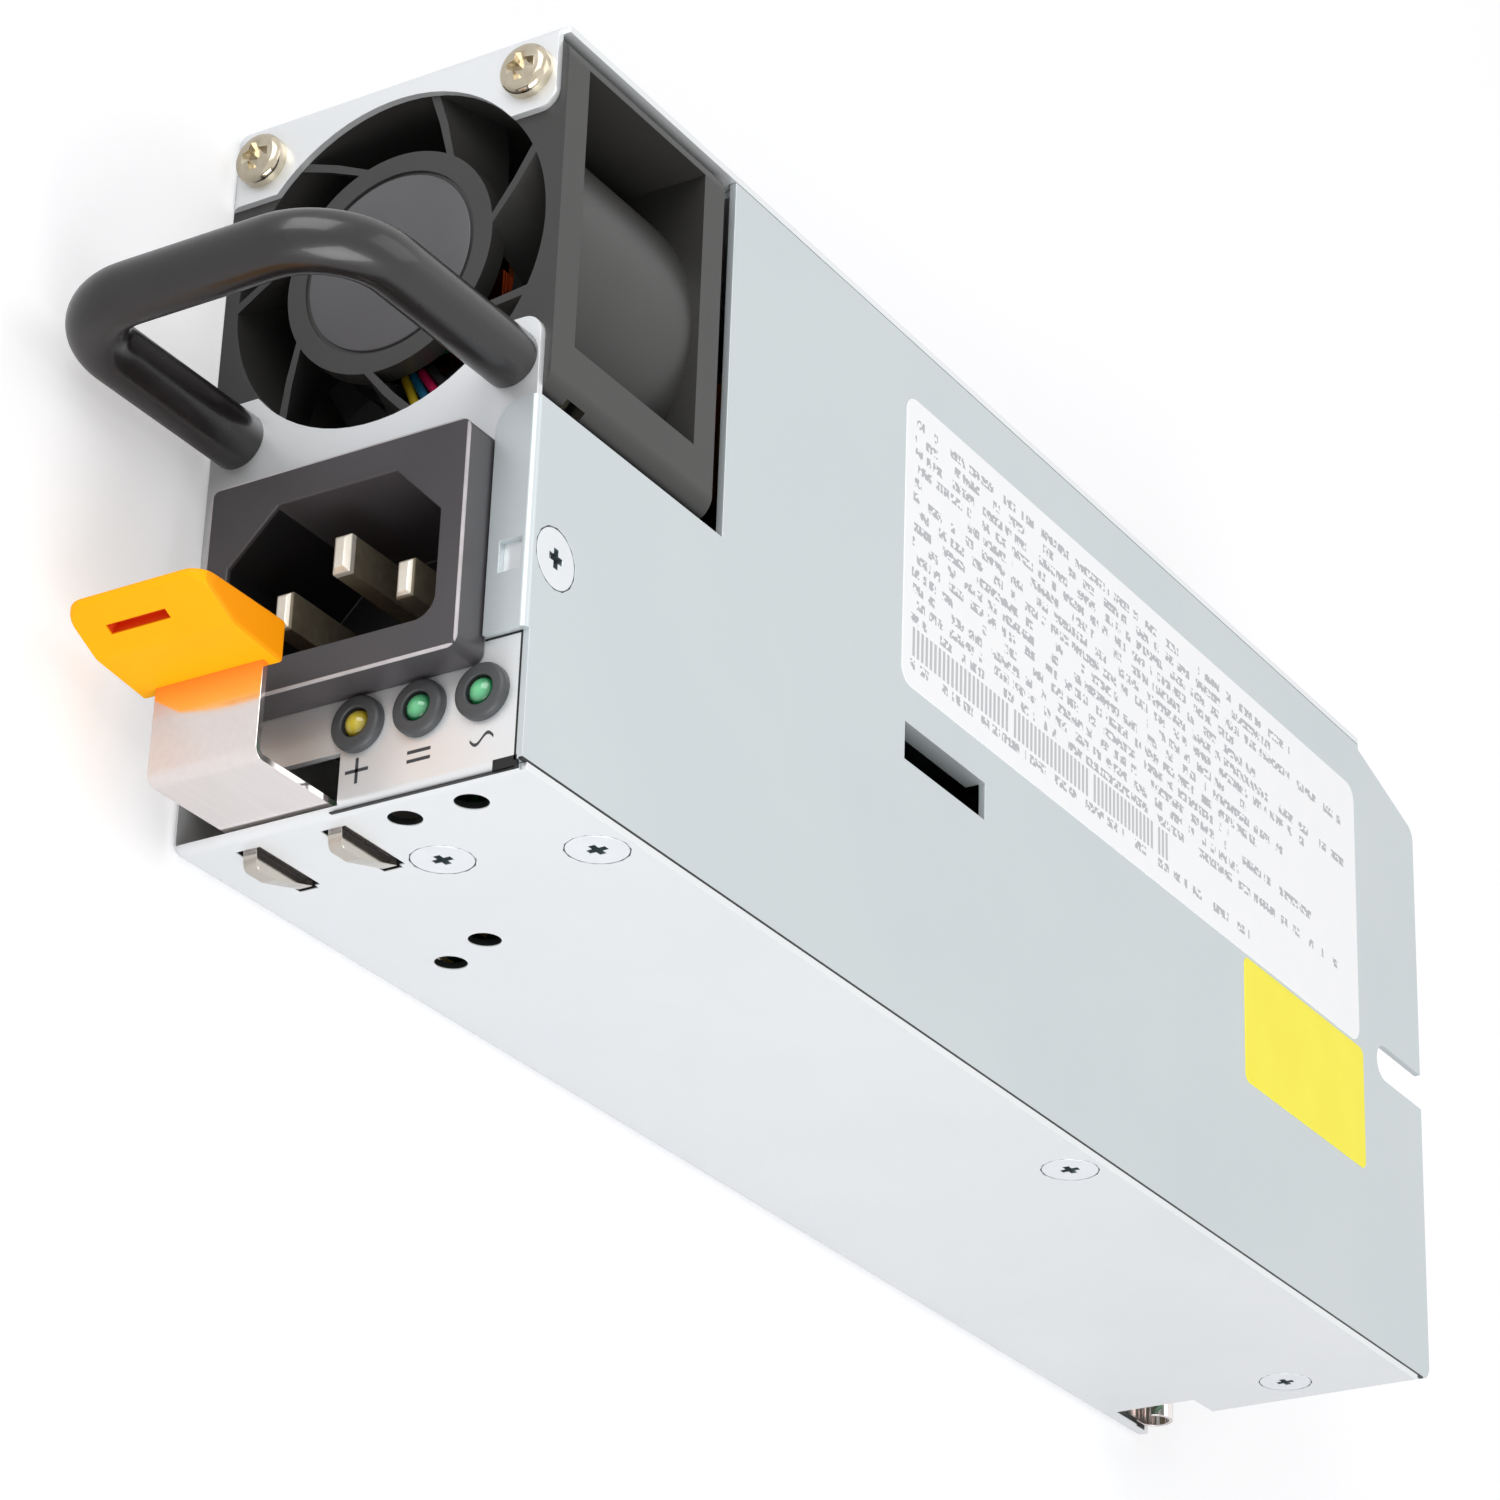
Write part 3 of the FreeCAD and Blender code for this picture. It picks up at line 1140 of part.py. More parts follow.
def output_cans():
    y0 = WALL_REAR - OUTPUT_Y
    left = -BOARD_SIDE + OUTPUT_SIDE
    places = [(left + i * OUTPUT_PITCH, y0 + k * OUTPUT_PITCH)
              for i in range(OUTPUT_COLUMNS) for k in range(OUTPUT_ROWS)]
    return [peg(OUTPUT_CAN, (x, y, BOARD_TOP), (x, y, BOARD_TOP + OUTPUT_HIGH))
            for x, y in places]


def lead_angle(index):
    return LEAD_ANGLE + index * LEAD_STEP


def fan_lead(index):
    """A lead from the motor's board, out of the duct and back to the plug."""
    start = ring_point(LEAD_START, lead_angle(index), LEAD_Y)
    z = FAN_Z + (LEAD_X - FAN_X) * math.tan(math.radians(lead_angle(index)))
    y = BOARD_FRONT + PLUG_FROM_EDGE + index * PLUG_PITCH
    path = [(start.x, start.y, start.z), (LEAD_X, LEAD_Y, z), (LEAD_X, y, z),
            (LEAD_X, y, BOARD_TOP + PLUG_HIGH)]
    return lead(path, [LEAD_ASIDE / 2, LEAD_CORNER], LEAD_THICK)


def fan_plug():
    """The leads' plug in its header on the board."""
    return on_board(LEAD_X - PLUG_WIDE / 2, BOARD_FRONT + PLUG_FROM_EDGE - PLUG_PITCH,
                    PLUG_WIDE, (LEAD_COUNT + 1) * PLUG_PITCH, PLUG_HIGH)


def bridge_rectifier():
    """A flat upright package on the heat sink's face, on its row of legs."""
    x0 = SINK_X + SINK_THICK / 2
    y0 = BOARD_FRONT + BRIDGE_Y
    z0 = BOARD_TOP + BRIDGE_LEG
    body = box(x0, x0 + BRIDGE_THICK, y0, y0 + BRIDGE_LONG, z0, z0 + BRIDGE_HIGH)
    middle = x0 + BRIDGE_THICK / 2
    pitch = BRIDGE_LONG / BRIDGE_LEGS
    half = BRIDGE_LEG_THICK / 2
    legs = [box(middle - half, middle + half, y0 + (i + 0.5) * pitch - half,
                y0 + (i + 0.5) * pitch + half, BOARD_TOP, z0) for i in range(BRIDGE_LEGS)]
    return fuse_all([body] + legs)


def card_bounds():
    """The control card's side and its two ends, in depth."""
    return (BOARD_SIDE - CARD_X, BOARD_FRONT + BULK_Y,
            WALL_REAR - TRANSFORMER_Y - CARD_REAR_GAP)


def control_card():
    x0, y0, y1 = card_bounds()
    return box(x0, x0 + CARD_THICK, y0, y1, BOARD_TOP, LID_UNDER - CARD_CLEAR)


def control_chip(index):
    x0, y0, y1 = card_bounds()
    x0 += CARD_THICK
    room = (y1 - y0) / CHIP_COUNT
    y = y0 + index * room + (room - CHIP_LONG) / 2
    z = BOARD_TOP + CHIP_RISE
    return box(x0, x0 + CHIP_THICK, y, y + CHIP_LONG, z, z + CHIP_HIGH)


def rear_clip():
    """The rolled spring tongue at the rear corner, which earths the case to its bay."""
    x1 = INNER - CLIP_SIDE
    x0 = x1 - CLIP_WIDE
    y1 = CASE_LENGTH + CLIP_PROUD - CLIP_ROLL
    mid = SHEET + CLIP_ROLL
    foot = box(x0, x1, NOTCH_Y - CLIP_FOOT, y1, SHEET, SHEET + CLIP_THICK)
    roll = rod(CLIP_ROLL, (x0, y1, mid), (x1, y1, mid))
    roll = roll.cut(rod(CLIP_ROLL - CLIP_THICK, (x0 - 1, y1, mid), (x1 + 1, y1, mid)))
    mouth = box(x0 - 1, x1 + 1, y1 - CLIP_ROLL - 1, y1, SHEET + CLIP_THICK, mid + CLIP_MOUTH)
    return fuse_all([foot, roll.cut(mouth)])


def save_case():
    save("tray", tray())
    save("cover", cover())
    save("rear_grille", rear_grille())
    save("wall_screws", *[flat_head((HALF, y, z), (-1, 0, 0), 0) for y, z in wall_screw_points()])
    save("cover_screw", flat_head((LID_SCREW_X, LID_SCREW_Y, CASE_HEIGHT), (0, 0, -1), 0))
    save("rear_clip", rear_clip())


def save_front():
    corners = fan_corners()
    save("fan_screws", *[pan_screw(x, z) for x, z in corners[:2]])
    save("handle", handle())
    save("handle_nuts", *[handle_nut(x, z) for x, z in corners[2:]])
    save("inlet_housing", inlet_housing())
    for index, name in enumerate(("inlet_earth_pin", "inlet_line_pin", "inlet_neutral_pin")):
        save(name, inlet_pin(index))
    save("lamp_bezels", *[lamp_bezel(x, z) for x, z in lamp_points()])
    for (x, z), name in zip(lamp_points(), ("lamp_fault", "lamp_output", "lamp_input")):
        save(name, lamp(x, z))
    save("lamp_board", lamp_board())
    save("lamp_bracket", lamp_bracket())
    save("latch_spring", latch_spring())
    save("latch_foot", latch_foot())
    save("latch_tab", latch_tab())


def save_fan():
    save("fan_frame", fan_frame())
    save("fan_bearing", fan_bearing())
    save("fan_shaft", fan_shaft())
    save("fan_stator", fan_stator())
    save("fan_rotor", fan_rotor())
    save("fan_magnet", fan_magnet())
    save("fan_circuit", fan_circuit())
    save("fan_leads", *[fan_lead(i) for i in range(LEAD_COUNT)])
    save("fan_plug", fan_plug())


def save_board():
    save("main_board", main_board())
    save("edge_contacts", edge_contacts())
    save("board_standoffs", *[slab_xy(hexagon(x, y, STANDOFF), SHEET, BOARD_Z)
                              for x, y in standoff_points()])
    save("board_screws", *[slab_xy(hexagon(x, y, BOARD_SCREW_FLATS), BOARD_TOP,
                                   BOARD_TOP + BOARD_SCREW_HIGH) for x, y in standoff_points()])
    save("insulating_sheet", insulator())
    save("inlet_leads", *[inlet_lead(i) for i in range(3)])
    right = BOARD_SIDE
    save("line_capacitor", on_board(right - FILTER_X - FILTER_WIDE, BOARD_FRONT + FILTER_Y,
                                    FILTER_WIDE, FILTER_DEEP, FILTER_HIGH))
    core, winding = wound_core(right - LINE_CHOKE_X - LINE_CHOKE_WIDE, BOARD_FRONT + LINE_CHOKE_Y,
                               LINE_CHOKE_WIDE, LINE_CHOKE_DEEP, LINE_CHOKE_HIGH, LINE_CHOKE_YOKE)
    save("line_choke_core", core)
    save("line_choke_winding", winding)
    save("relay", on_board(right - RELAY_X - RELAY_WIDE, BOARD_FRONT + RELAY_Y,
                           RELAY_WIDE, RELAY_DEEP, RELAY_HIGH))
    x = right - FUSE_X
    y = BOARD_FRONT + RELAY_Y
    z = BOARD_TOP + FUSE_THICK / 2
    save("fuse", rod(FUSE_THICK / 2, (x, y, z), (x, y + FUSE_LONG, z)))
    core, winding = wound_core(-BOARD_SIDE + CHOKE_X, BOARD_FRONT + CHOKE_Y, CHOKE_WIDE,
                               CHOKE_DEEP, ROOM - CHOKE_CLEAR, CHOKE_YOKE)
    save("choke_core", core)
    save("choke_winding", winding)
    y = BOARD_FRONT + SINK_Y
    save("primary_heat_sink", heat_sink(SINK_X, y, y + SINK_LONG, -1))
    save("bridge_rectifier", bridge_rectifier())
    save("bulk_capacitors", *bulk_cans())
    save("control_card", control_card())
    save("control_chips", *[control_chip(i) for i in range(CHIP_COUNT)])
    y = WALL_REAR - TRANSFORMER_Y
    core, winding = wound_core(TRANSFORMER_X, y, TRANSFORMER_WIDE, TRANSFORMER_DEEP,
                               ROOM - TRANSFORMER_CLEAR, TRANSFORMER_YOKE)
    save("transformer_core", core)
    save("transformer_winding", winding)
    save("secondary_heat_sink", heat_sink(BOARD_SIDE - OUTPUT_SINK_X, y, y + OUTPUT_SINK_LONG, 1))
    save("output_capacitors", *output_cans())


save_case()
save_front()
save_fan()
save_board()
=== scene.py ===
import json
import math

import bmesh
import bpy
from mathutils import Matrix, Vector


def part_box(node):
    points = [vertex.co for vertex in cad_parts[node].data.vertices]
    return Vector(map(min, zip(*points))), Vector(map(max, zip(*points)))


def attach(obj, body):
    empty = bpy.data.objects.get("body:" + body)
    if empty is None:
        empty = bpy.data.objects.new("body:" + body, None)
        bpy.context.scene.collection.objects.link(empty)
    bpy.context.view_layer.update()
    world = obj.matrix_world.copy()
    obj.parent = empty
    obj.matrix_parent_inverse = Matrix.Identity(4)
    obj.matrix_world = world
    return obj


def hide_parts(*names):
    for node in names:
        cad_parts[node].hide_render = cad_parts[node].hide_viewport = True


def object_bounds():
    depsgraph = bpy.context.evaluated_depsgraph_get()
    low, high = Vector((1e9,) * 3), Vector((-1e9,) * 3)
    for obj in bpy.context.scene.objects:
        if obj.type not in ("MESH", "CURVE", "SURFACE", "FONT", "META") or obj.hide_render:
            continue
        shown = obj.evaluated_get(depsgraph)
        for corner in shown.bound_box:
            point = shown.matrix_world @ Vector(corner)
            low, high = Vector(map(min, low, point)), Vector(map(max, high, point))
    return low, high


# The finishes and the smooth outer pieces of a plug-in server power supply.
# Everything is in metres in the part's own frame: X across, Y from front to rear, Z up.

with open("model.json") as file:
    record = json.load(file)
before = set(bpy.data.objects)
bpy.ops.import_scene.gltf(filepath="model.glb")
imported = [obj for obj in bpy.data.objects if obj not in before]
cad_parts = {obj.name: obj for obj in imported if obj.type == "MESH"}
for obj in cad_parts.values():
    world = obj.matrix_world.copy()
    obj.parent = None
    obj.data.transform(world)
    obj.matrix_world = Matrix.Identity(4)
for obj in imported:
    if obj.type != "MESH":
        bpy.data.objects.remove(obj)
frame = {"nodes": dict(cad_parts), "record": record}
CAD_LOW, CAD_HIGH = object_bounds()

MM = 0.001
CHASSIS = "chassis"
LATCH = "latch"
ROTOR = "rotor"

# Camera, soft boxes (name, place, side in metres, watts), the point that they face, level of
# light all round, and floor
CAMERA_AT = (0.22372, -0.40254, 0.26239)
CAMERA_TURN = (23.191, -57.987, 93.575)
CAMERA_LENS = 113.5
CAMERA_FILM = 36.0
SOFT_BOXES = (("key", (0.8, -0.3, 0.35), 0.6, 4.6),
              ("top", (-0.2, 0.1, 0.9), 0.7, 1.4),
              ("front", (-0.5, -0.8, 0.3), 0.7, 4.6))
AIM = (0, 0, 0.02)
ROUND_LIGHT = 0.55
FLOOR_REACH = 3.0
FLOOR_BELOW = 0.05 * MM
FLOOR_LIFT = 0.3

# Angles in degrees: flat enough to merge, sharp enough to soften, and sharp enough to show on a
# piece, a flush head, a lens and the tab
FLAT_UNDER = 0.4
SOFTEN_OVER = 28
SHARP_OVER = 35
HEAD_SHARP_OVER = 20
LENS_SHARP_OVER = 50
TAB_SOFTEN_OVER = 20
TAB_SHARP_OVER = 60

# Corners closer than this are one corner, in a CAD mesh and in a turned one
WELD = 0.0001 * MM
TURNED_WELD = 0.001 * MM

# Steps round a turned piece and round a plate's corner
TURNED_STEPS = 40
PLATE_STEPS = 8

# Folded and moulded pieces: CAD node, new piece, width of its soft edges in mm, body and finish
SOFTENED = (
    ("tray", "tray_folded", 0.08, CHASSIS, "tray_sheet"),
    ("cover", "cover_folded", 0.08, CHASSIS, "painted_shade_cover"),
    ("rear_grille", "rear_wall_pressed", 0.06, CHASSIS, None),
    ("fan_frame", "fan_frame_moulded", 0.16, CHASSIS, None),
    ("fan_rotor", "fan_wheel", 0.14, ROTOR, "painted_shade_rotor_plastic"),
    ("inlet_housing", "inlet_moulded", 0.2, CHASSIS, None),
    ("latch_spring", "latch_strip", 0.06, LATCH, None),
    ("latch_foot", "latch_foot_pressed", 0.06, CHASSIS, None),
    ("rear_clip", "rear_clip_rolled", 0.05, CHASSIS, None),
    ("inlet_earth_pin", "earth_pin_blade", 0.1, CHASSIS, "pin_plate"),
    ("inlet_line_pin", "line_pin_blade", 0.1, CHASSIS, "pin_plate"),
    ("inlet_neutral_pin", "neutral_pin_blade", 0.1, CHASSIS, "pin_plate"),
)

# Handle
HANDLE_BEND = 8.0 * MM
HANDLE_SIDES = 40
BEND_STEPS = 16

# Sheet, and the inner side of the latch wall that its holes show, painted dark as shade: from
# its front and rear ends, middle and reach in height
SHEET = 0.8 * MM
WALL_FRONT = 3 * MM
WALL_REAR = 1 * MM
WALL_MIDDLE = 20.0 * MM
WALL_HOLES = 18.6 * MM

# Flush screws, as deep as the sheet
FLUSH_HEAD = 3.1 * MM
FLUSH_RIM = 0.14 * MM
FLUSH_RIM_DEEP = 0.1 * MM
FLUSH_UNDER = 2.3 * MM
# Depth below a head's face where its painted shade starts
FLUSH_SHADE_DEPTH = 0.05 * MM

# Pan-head screws
PAN_HEAD = 2.8 * MM
PAN_TOP = 1.9 * MM
PAN_HEIGHT = 2.0 * MM
PAN_CROWN = 0.35 * MM
PAN_SHANK = 1.5 * MM
PAN_LENGTH = 6.0 * MM

# A screw's cross as a share of its head's radius, its arms' width as a share of their reach,
# its depth as a share of the head, and how far its bottom narrows along and across the arms
FLUSH_CROSS = 0.95
PAN_CROSS = 1.75
CROSS_ARM = 0.3
CROSS_DEEP = 0.7
CROSS_NARROWS = (0.45, 0.7)

# Lamps
LAMP_RING = 2.8 * MM
LAMP_BORE = 1.5 * MM
LAMP_RING_HEIGHT = 1.0 * MM
LAMP_RING_ROUND = 0.45 * MM
LAMP_RING_LIP = 0.12 * MM
LAMP_ROOM = 0.02 * MM
LAMP_DOME = 0.1 * MM

# Lamp marks: distance from the lamps, reach, line width, thickness, bars' offset, wave's swing,
# and the strokes of each, as a turn in degrees and an offset
MARK_ASIDE = 4.6 * MM
MARK_REACH = 1.3 * MM
MARK_LINE = 0.34 * MM
MARK_FILM = 0.02 * MM
MARK_BAR = 0.45 * MM
MARK_SWING = 0.5 * MM
MARK_STEPS = 16
MARK_STROKES = {"cross": ((0, 0), (90, 0)), "bars": ((90, -MARK_BAR), (90, MARK_BAR)),
                "wave": ((90, 0),)}

# Inlet: painted highlight on its front edge, painted shade deep in its recess, and how far back a
# pin's tip stays bright
EDGE_HIGHLIGHT = 0.26 * MM
RECESS_WALL = 3.6 * MM
RECESS_LIP = 0.5 * MM
PIN_UNSHADED_TIP = 2.2 * MM

# Latch window below the strip, and the catches' slots: start behind the face, length, height
# (a catch and the dark relief beside it), reach behind the wall, and their lower sides from the
# strip's lower and upper edge. Cutters stand out beyond the sheet.
WINDOW_WIDE = 5.3 * MM
SLOT_START = 2.6 * MM
SLOT_LONG = 9.4 * MM
SLOT_HIGH = (0.8 + 0.95) * MM
SLOT_INSIDE = 0.2 * MM
SLOT_LOWER = 0.8 * MM
SLOT_UPPER = 1.8 * MM
BEYOND = 1 * MM

# Painted shadow in the seams round the cover: width, start before its rear end, the flange's end,
# and the gap and the fold at the latch side's corner
SEAM = 0.22 * MM
SEAM_REAR = 2 * MM
FLANGE_END = 26.1 * MM
CORNER_GAP = 2.4 * MM
FOLD_LINE = 0.12 * MM

# Finger tab: flat tip, kink behind it, corners, grip slot, painted shade on its upper end, painted
# orange reflection on the strip
TAB_TIP = 0.8 * MM
TAB_KINK = (3.5 * MM, 5.4 * MM)
TAB_CORNER = 2.2 * MM
TAB_ROUND = 0.6 * MM
TAB_STEPS = (8, 6)
TAB_FRONT = 0.01 * MM
TAB_SLOT_LONG = 6.8 * MM
TAB_SLOT_WIDE = 1.1 * MM
TAB_SLOT_DEEP = 1.7 * MM
TAB_SLOT_AT = 3.3 * MM
TAB_SLOT_LOW = 3.4 * MM
TAB_SLOT_RIM = 0.2 * MM
TAB_SLOT_EDGE = 0.02 * MM
TAB_SHADED_END = 0.25 * MM
TAB_REFLECTION_REACH = 3.6 * MM

# Label and sticker on the cover: lowest and highest corner across and along
LABEL = (-32.4 * MM, -30.6 * MM, 1.8 * MM, 78.5 * MM)
STICKER = (2.2 * MM, 47.7 * MM, 17.7 * MM, 79.4 * MM)
FILM = 0.08 * MM
FILM_EDGE = 0.03 * MM
LABEL_CORNER = 2.0 * MM
STICKER_CORNER = 1.0 * MM

# Specks on the label: margin, pitch of the rows, and patches per metre with the level that
# shows, for words and letters. Its strip of bars: two sides across and far end, bare room
# beside it, and pitch.
LABEL_MARGIN = 1.6 * MM
LABEL_ROW = 1.8 * MM
LABEL_WORDS = (430, 0.48)
LABEL_LETTERS = (1500.0, 0.46)
LABEL_BARS = (-5.3 * MM, -1.9 * MM, 29.0 * MM)
LABEL_BARS_CLEAR = 0.1 * MM
LABEL_BAR = 0.9 * MM

# Fan leads, in the order in which they leave the motor. Angles are in degrees.
LEADS = (("yellow", (240, 206, 40)), ("blue", (20, 120, 160)), ("red", (214, 20, 90)),
         ("black", (40, 40, 42)))
LEAD_THICK = 0.95 * MM
LEAD_START = 10.6 * MM
LEAD_DEPTH = 5.375 * MM
LEAD_SIDE = 2.4 * MM
LEAD_ANGLE = 11.5
LEAD_STEP = 5.4
LEAD_PITCH = 2.0 * MM
LEAD_ASLANT = 14.0

# Motor disc, inside a groove
MOTOR_DISC = 9.55 * MM
MOTOR_DISC_DEEP = 0.3 * MM
MOTOR_DISC_RIM = (0.1 * MM, 0.06 * MM)
MOTOR_DISC_STEPS = 64


def tint(red, green, blue):
    """A colour as it is seen on a screen, 0 to 255, made linear."""
    def linear(level):
        share = level / 255
        return share / 12.92 if share <= 0.04045 else ((share + 0.055) / 1.055) ** 2.4
    return (linear(red), linear(green), linear(blue), 1.0)


class Reading:
    """One output among a finish's nodes. Arithmetic on it adds Math nodes."""

    def __init__(self, nodes, socket):
        self.nodes = nodes
        self.socket = socket

    def math(self, operation, *values):
        return self.nodes.add("ShaderNodeMath", {"operation": operation}, dict(enumerate(values)))

    def __add__(self, other):
        return self.math("ADD", self, other)

    def __sub__(self, other):
        return self.math("SUBTRACT", self, other)

    def __rsub__(self, other):
        return self.math("SUBTRACT", other, self)

    def __mul__(self, other):
        return self.math("MULTIPLY", self, other)

    __radd__ = __add__
    __rmul__ = __mul__

    def near(self, value, reach):
        """1 where the reading is within reach of a value, and 0 elsewhere."""
        return self.math("COMPARE", self, value, reach)

    def between(self, low, high):
        """1 between two values, and 0 elsewhere."""
        return self.near((low + high) / 2, (high - low) / 2)

    def larger(self, other):
        return self.math("MAXIMUM", self, other)

    def above(self, other):
        """1 where the reading is more than a value, and 0 elsewhere."""
        return self.math("GREATER_THAN", self, other)


class Nodes:
    """The node tree of one material or world."""

    def __init__(self, tree):
        self.tree = tree
        tree.nodes.clear()

    def add(self, kind, settings=None, inputs=None, output=0):
        node = self.tree.nodes.new(kind)
        for name, value in (settings or {}).items():
            setattr(node, name, value)
        for name, value in (inputs or {}).items():
            if isinstance(value, Reading):
                self.tree.links.new(value.socket, node.inputs[name])
            else:
                node.inputs[name].default_value = value
        return Reading(self, node.outputs[output]) if node.outputs else None

    def place(self):
        return self.add("ShaderNodeTexCoord", output=3)

    def axis(self, index):
        """The object's own X, Y or Z in metres."""
        return self.add("ShaderNodeSeparateXYZ", None, {0: self.place()}, index)

    def noise(self, scale, stretch=(1, 1, 1), detail=2.0):
        """Noise between 0 and 1. scale is in patches per metre."""
        at = self.add("ShaderNodeMapping", None, {"Vector": self.place(), "Scale": stretch})
        return self.patches(at, scale, detail)

    def noise_at(self, row, along=0.0, detail=2.0):
        """Noise between 0 and 1 that reads only two values, each in patches."""
        at = self.add("ShaderNodeCombineXYZ", None, {0: row, 1: along})
        return self.patches(at, 1.0, detail)

    def patches(self, at, scale, detail):
        inputs = {"Vector": at, "Scale": scale, "Detail": detail}
        return self.add("ShaderNodeTexNoise", None, inputs)

    def mix(self, factor, first, second):
        return self.add("ShaderNodeMix", {"data_type": "RGBA"}, {0: factor, 6: first, 7: second}, 2)

    def surface(self, colour, roughness, relief=None, height=0.0, **constants):
        """The shader of a solid finish. height is the relief's depth in metres."""
        inputs = {"Base Color": colour, "Roughness": roughness}
        if relief is not None:
            bump = {"Height": relief, "Distance": height}
            inputs["Normal"] = self.add("ShaderNodeBump", None, bump)
        inputs.update({name.replace("_", " "): value for name, value in constants.items()})
        shader = self.add("ShaderNodeBsdfPrincipled", None, inputs)
        self.add("ShaderNodeOutputMaterial", None, {"Surface": shader})


def finish(name):
    material = bpy.data.materials.new(name)
    material.use_nodes = True
    return material, Nodes(material.node_tree)


# Metals


def rolled_sheet(name, light, dark, rough, metal=0.5):
    """Plated sheet with a faint cloudiness and a fine rolling grain along the case."""
    material, nodes = finish(name)
    cloud = nodes.noise(45, detail=3.0)
    grain = nodes.noise(1800, (1, 0.06, 1))
    nodes.surface(nodes.mix(cloud, dark, light), rough + 0.12 * grain,
                  grain, 0.004 * MM, Metallic=metal)
    return material


def plated(name, light, dark, rough):
    """Nickel or gold plating with slight stains."""
    material, nodes = finish(name)
    stain = nodes.noise(700, detail=4.0)
    nodes.surface(nodes.mix(stain, dark, light), rough + 0.15 * stain,
                  nodes.noise(3500), 0.003 * MM, Metallic=1.0)
    return material


def screw_zinc(name, axis, level):
    """Bright zinc on a flush head, with painted shade in the cross and in the groove round the rim.
    """
    material, nodes = finish(name)
    stain = nodes.noise(260)
    plain = nodes.mix(stain, tint(226, 230, 233), tint(236, 239, 242))
    # Deeper than the head's face, the colour is painted shade.
    colour = nodes.mix(nodes.axis(axis).above(level - FLUSH_SHADE_DEPTH), tint(84, 96, 100), plain)
    nodes.surface(colour, 0.3 + 0.08 * stain, Metallic=0.35)
    return material


def tray_sheet():
    """The tray's plated sheet, with painted shade on the inside of its latch wall."""
    material, nodes = finish("tray_sheet_finish")
    low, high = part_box("tray")
    cloud = nodes.noise(45, detail=3.0)
    grain = nodes.noise(1800, (1, 0.06, 1))
    # Painted shade on the inner side of the latch wall, seen through its holes.
    inside = (nodes.axis(0).near(high.x - SHEET * 0.65, SHEET * 0.5)
              * nodes.axis(1).above(low.y + WALL_FRONT)
              * (1 - nodes.axis(1).above(high.y - WALL_REAR))
              * nodes.axis(2).near(low.z + WALL_MIDDLE, WALL_HOLES))
    plain = nodes.mix(cloud, tint(230, 233, 235), tint(238, 240, 241))
    nodes.surface(nodes.mix(inside, plain, tint(40, 41, 42)), 0.3 + 0.12 * grain,
                  grain, 0.004 * MM, Metallic=0.5)
    return material


def turned_metal(name, light, dark):
    """Turned or extruded stock, with fine tool lines along its height."""
    material, nodes = finish(name)
    lines = nodes.noise(4000, (0.05, 0.05, 1))
    nodes.surface(nodes.mix(lines, dark, light), 0.28 + 0.15 * lines,
                  lines, 0.004 * MM, Metallic=1.0)
    return material


def coated_bar():
    """Satin black coating with a faint orange-peel surface."""
    material, nodes = finish("satin_black_coat")
    peel = nodes.noise(900, detail=3.0)
    colour = nodes.mix(nodes.noise(120), tint(22, 19, 20), tint(32, 29, 30))
    nodes.surface(colour, 0.24 + 0.12 * peel, peel, 0.016 * MM, Coat_Weight=0.35)
    return material


def enamelled_wire():
    """Copper wire in turns that run round the winding."""
    material, nodes = finish("enamelled_copper")
    turns = nodes.add("ShaderNodeTexWave", {"bands_direction": "Y"},
                      {"Vector": nodes.place(), "Scale": 700.0, "Distortion": 0.4})
    colour = nodes.mix(turns, tint(120, 58, 28), tint(205, 118, 62))
    nodes.surface(colour, 0.3, turns, 0.08 * MM, Metallic=0.9)
    return material


# Plastics and other solid finishes


def moulded(name, light, dark, rough, grain=2600.0, depth=0.006 * MM, shine=0.5):
    """Moulded plastic with a fine spark-eroded grain and a slight change of tone."""
    material, nodes = finish(name)
    speckle = nodes.noise(grain, detail=3.0)
    tone = nodes.noise(90)
    nodes.surface(nodes.mix(tone, dark, light), rough + 0.12 * speckle, speckle, depth,
                  Specular_IOR_Level=shine)
    return material


def inlet_plastic():
    """Black plastic with a painted highlight along its front edges and painted shade deep in its
    recess.
    """
    material, nodes = finish("black_inlet_plastic")
    low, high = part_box("inlet_housing")
    middle = (low + high) / 2
    reach = (high - low) / 2 - Vector((1, 1, 1)) * EDGE_HIGHLIGHT
    inner = nodes.axis(0).near(middle.x, reach.x) * nodes.axis(2).near(middle.z, reach.z)
    front = nodes.axis(1).near(low.y, EDGE_HIGHLIGHT)
    speckle = nodes.noise(2600.0, detail=3.0)
    # Painted highlight along the front rim.
    edge_highlight = front * (1 - inner) * (0.55 + 0.45 * nodes.noise(500))
    plain = nodes.mix(nodes.noise(90), tint(62, 60, 63), tint(76, 73, 76))
    mouth = reach - Vector((1, 1, 1)) * RECESS_WALL
    # Painted shade deep in the recess.
    deep = (nodes.axis(0).near(middle.x, mouth.x) * nodes.axis(2).near(middle.z, reach.z)
            * nodes.axis(1).above(low.y + RECESS_LIP))
    plain = nodes.mix(deep, plain, tint(20, 19, 20))
    nodes.surface(nodes.mix(edge_highlight, plain, tint(206, 200, 202)), 0.36 + 0.12 * speckle,
                  speckle, 0.006 * MM)
    return material


def pin_metal():
    """Plated brass pins, bright at the tip, with painted shade further back down in the recess."""
    material, nodes = finish("pin_plate")
    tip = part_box("tray")[0].y - PIN_UNSHADED_TIP
    stain = nodes.noise(900, detail=3.0)
    # Painted shade on the pins further back than the tip.
    pin_shade = nodes.mix(stain, tint(112, 102, 84), tint(150, 140, 120))
    bright = nodes.mix(stain, tint(232, 224, 208), tint(250, 245, 234))
    colour = nodes.mix(nodes.axis(1).above(tip), bright, pin_shade)
    nodes.surface(colour, 0.26 + 0.1 * stain, stain, 0.004 * MM, Metallic=0.4)
    return material


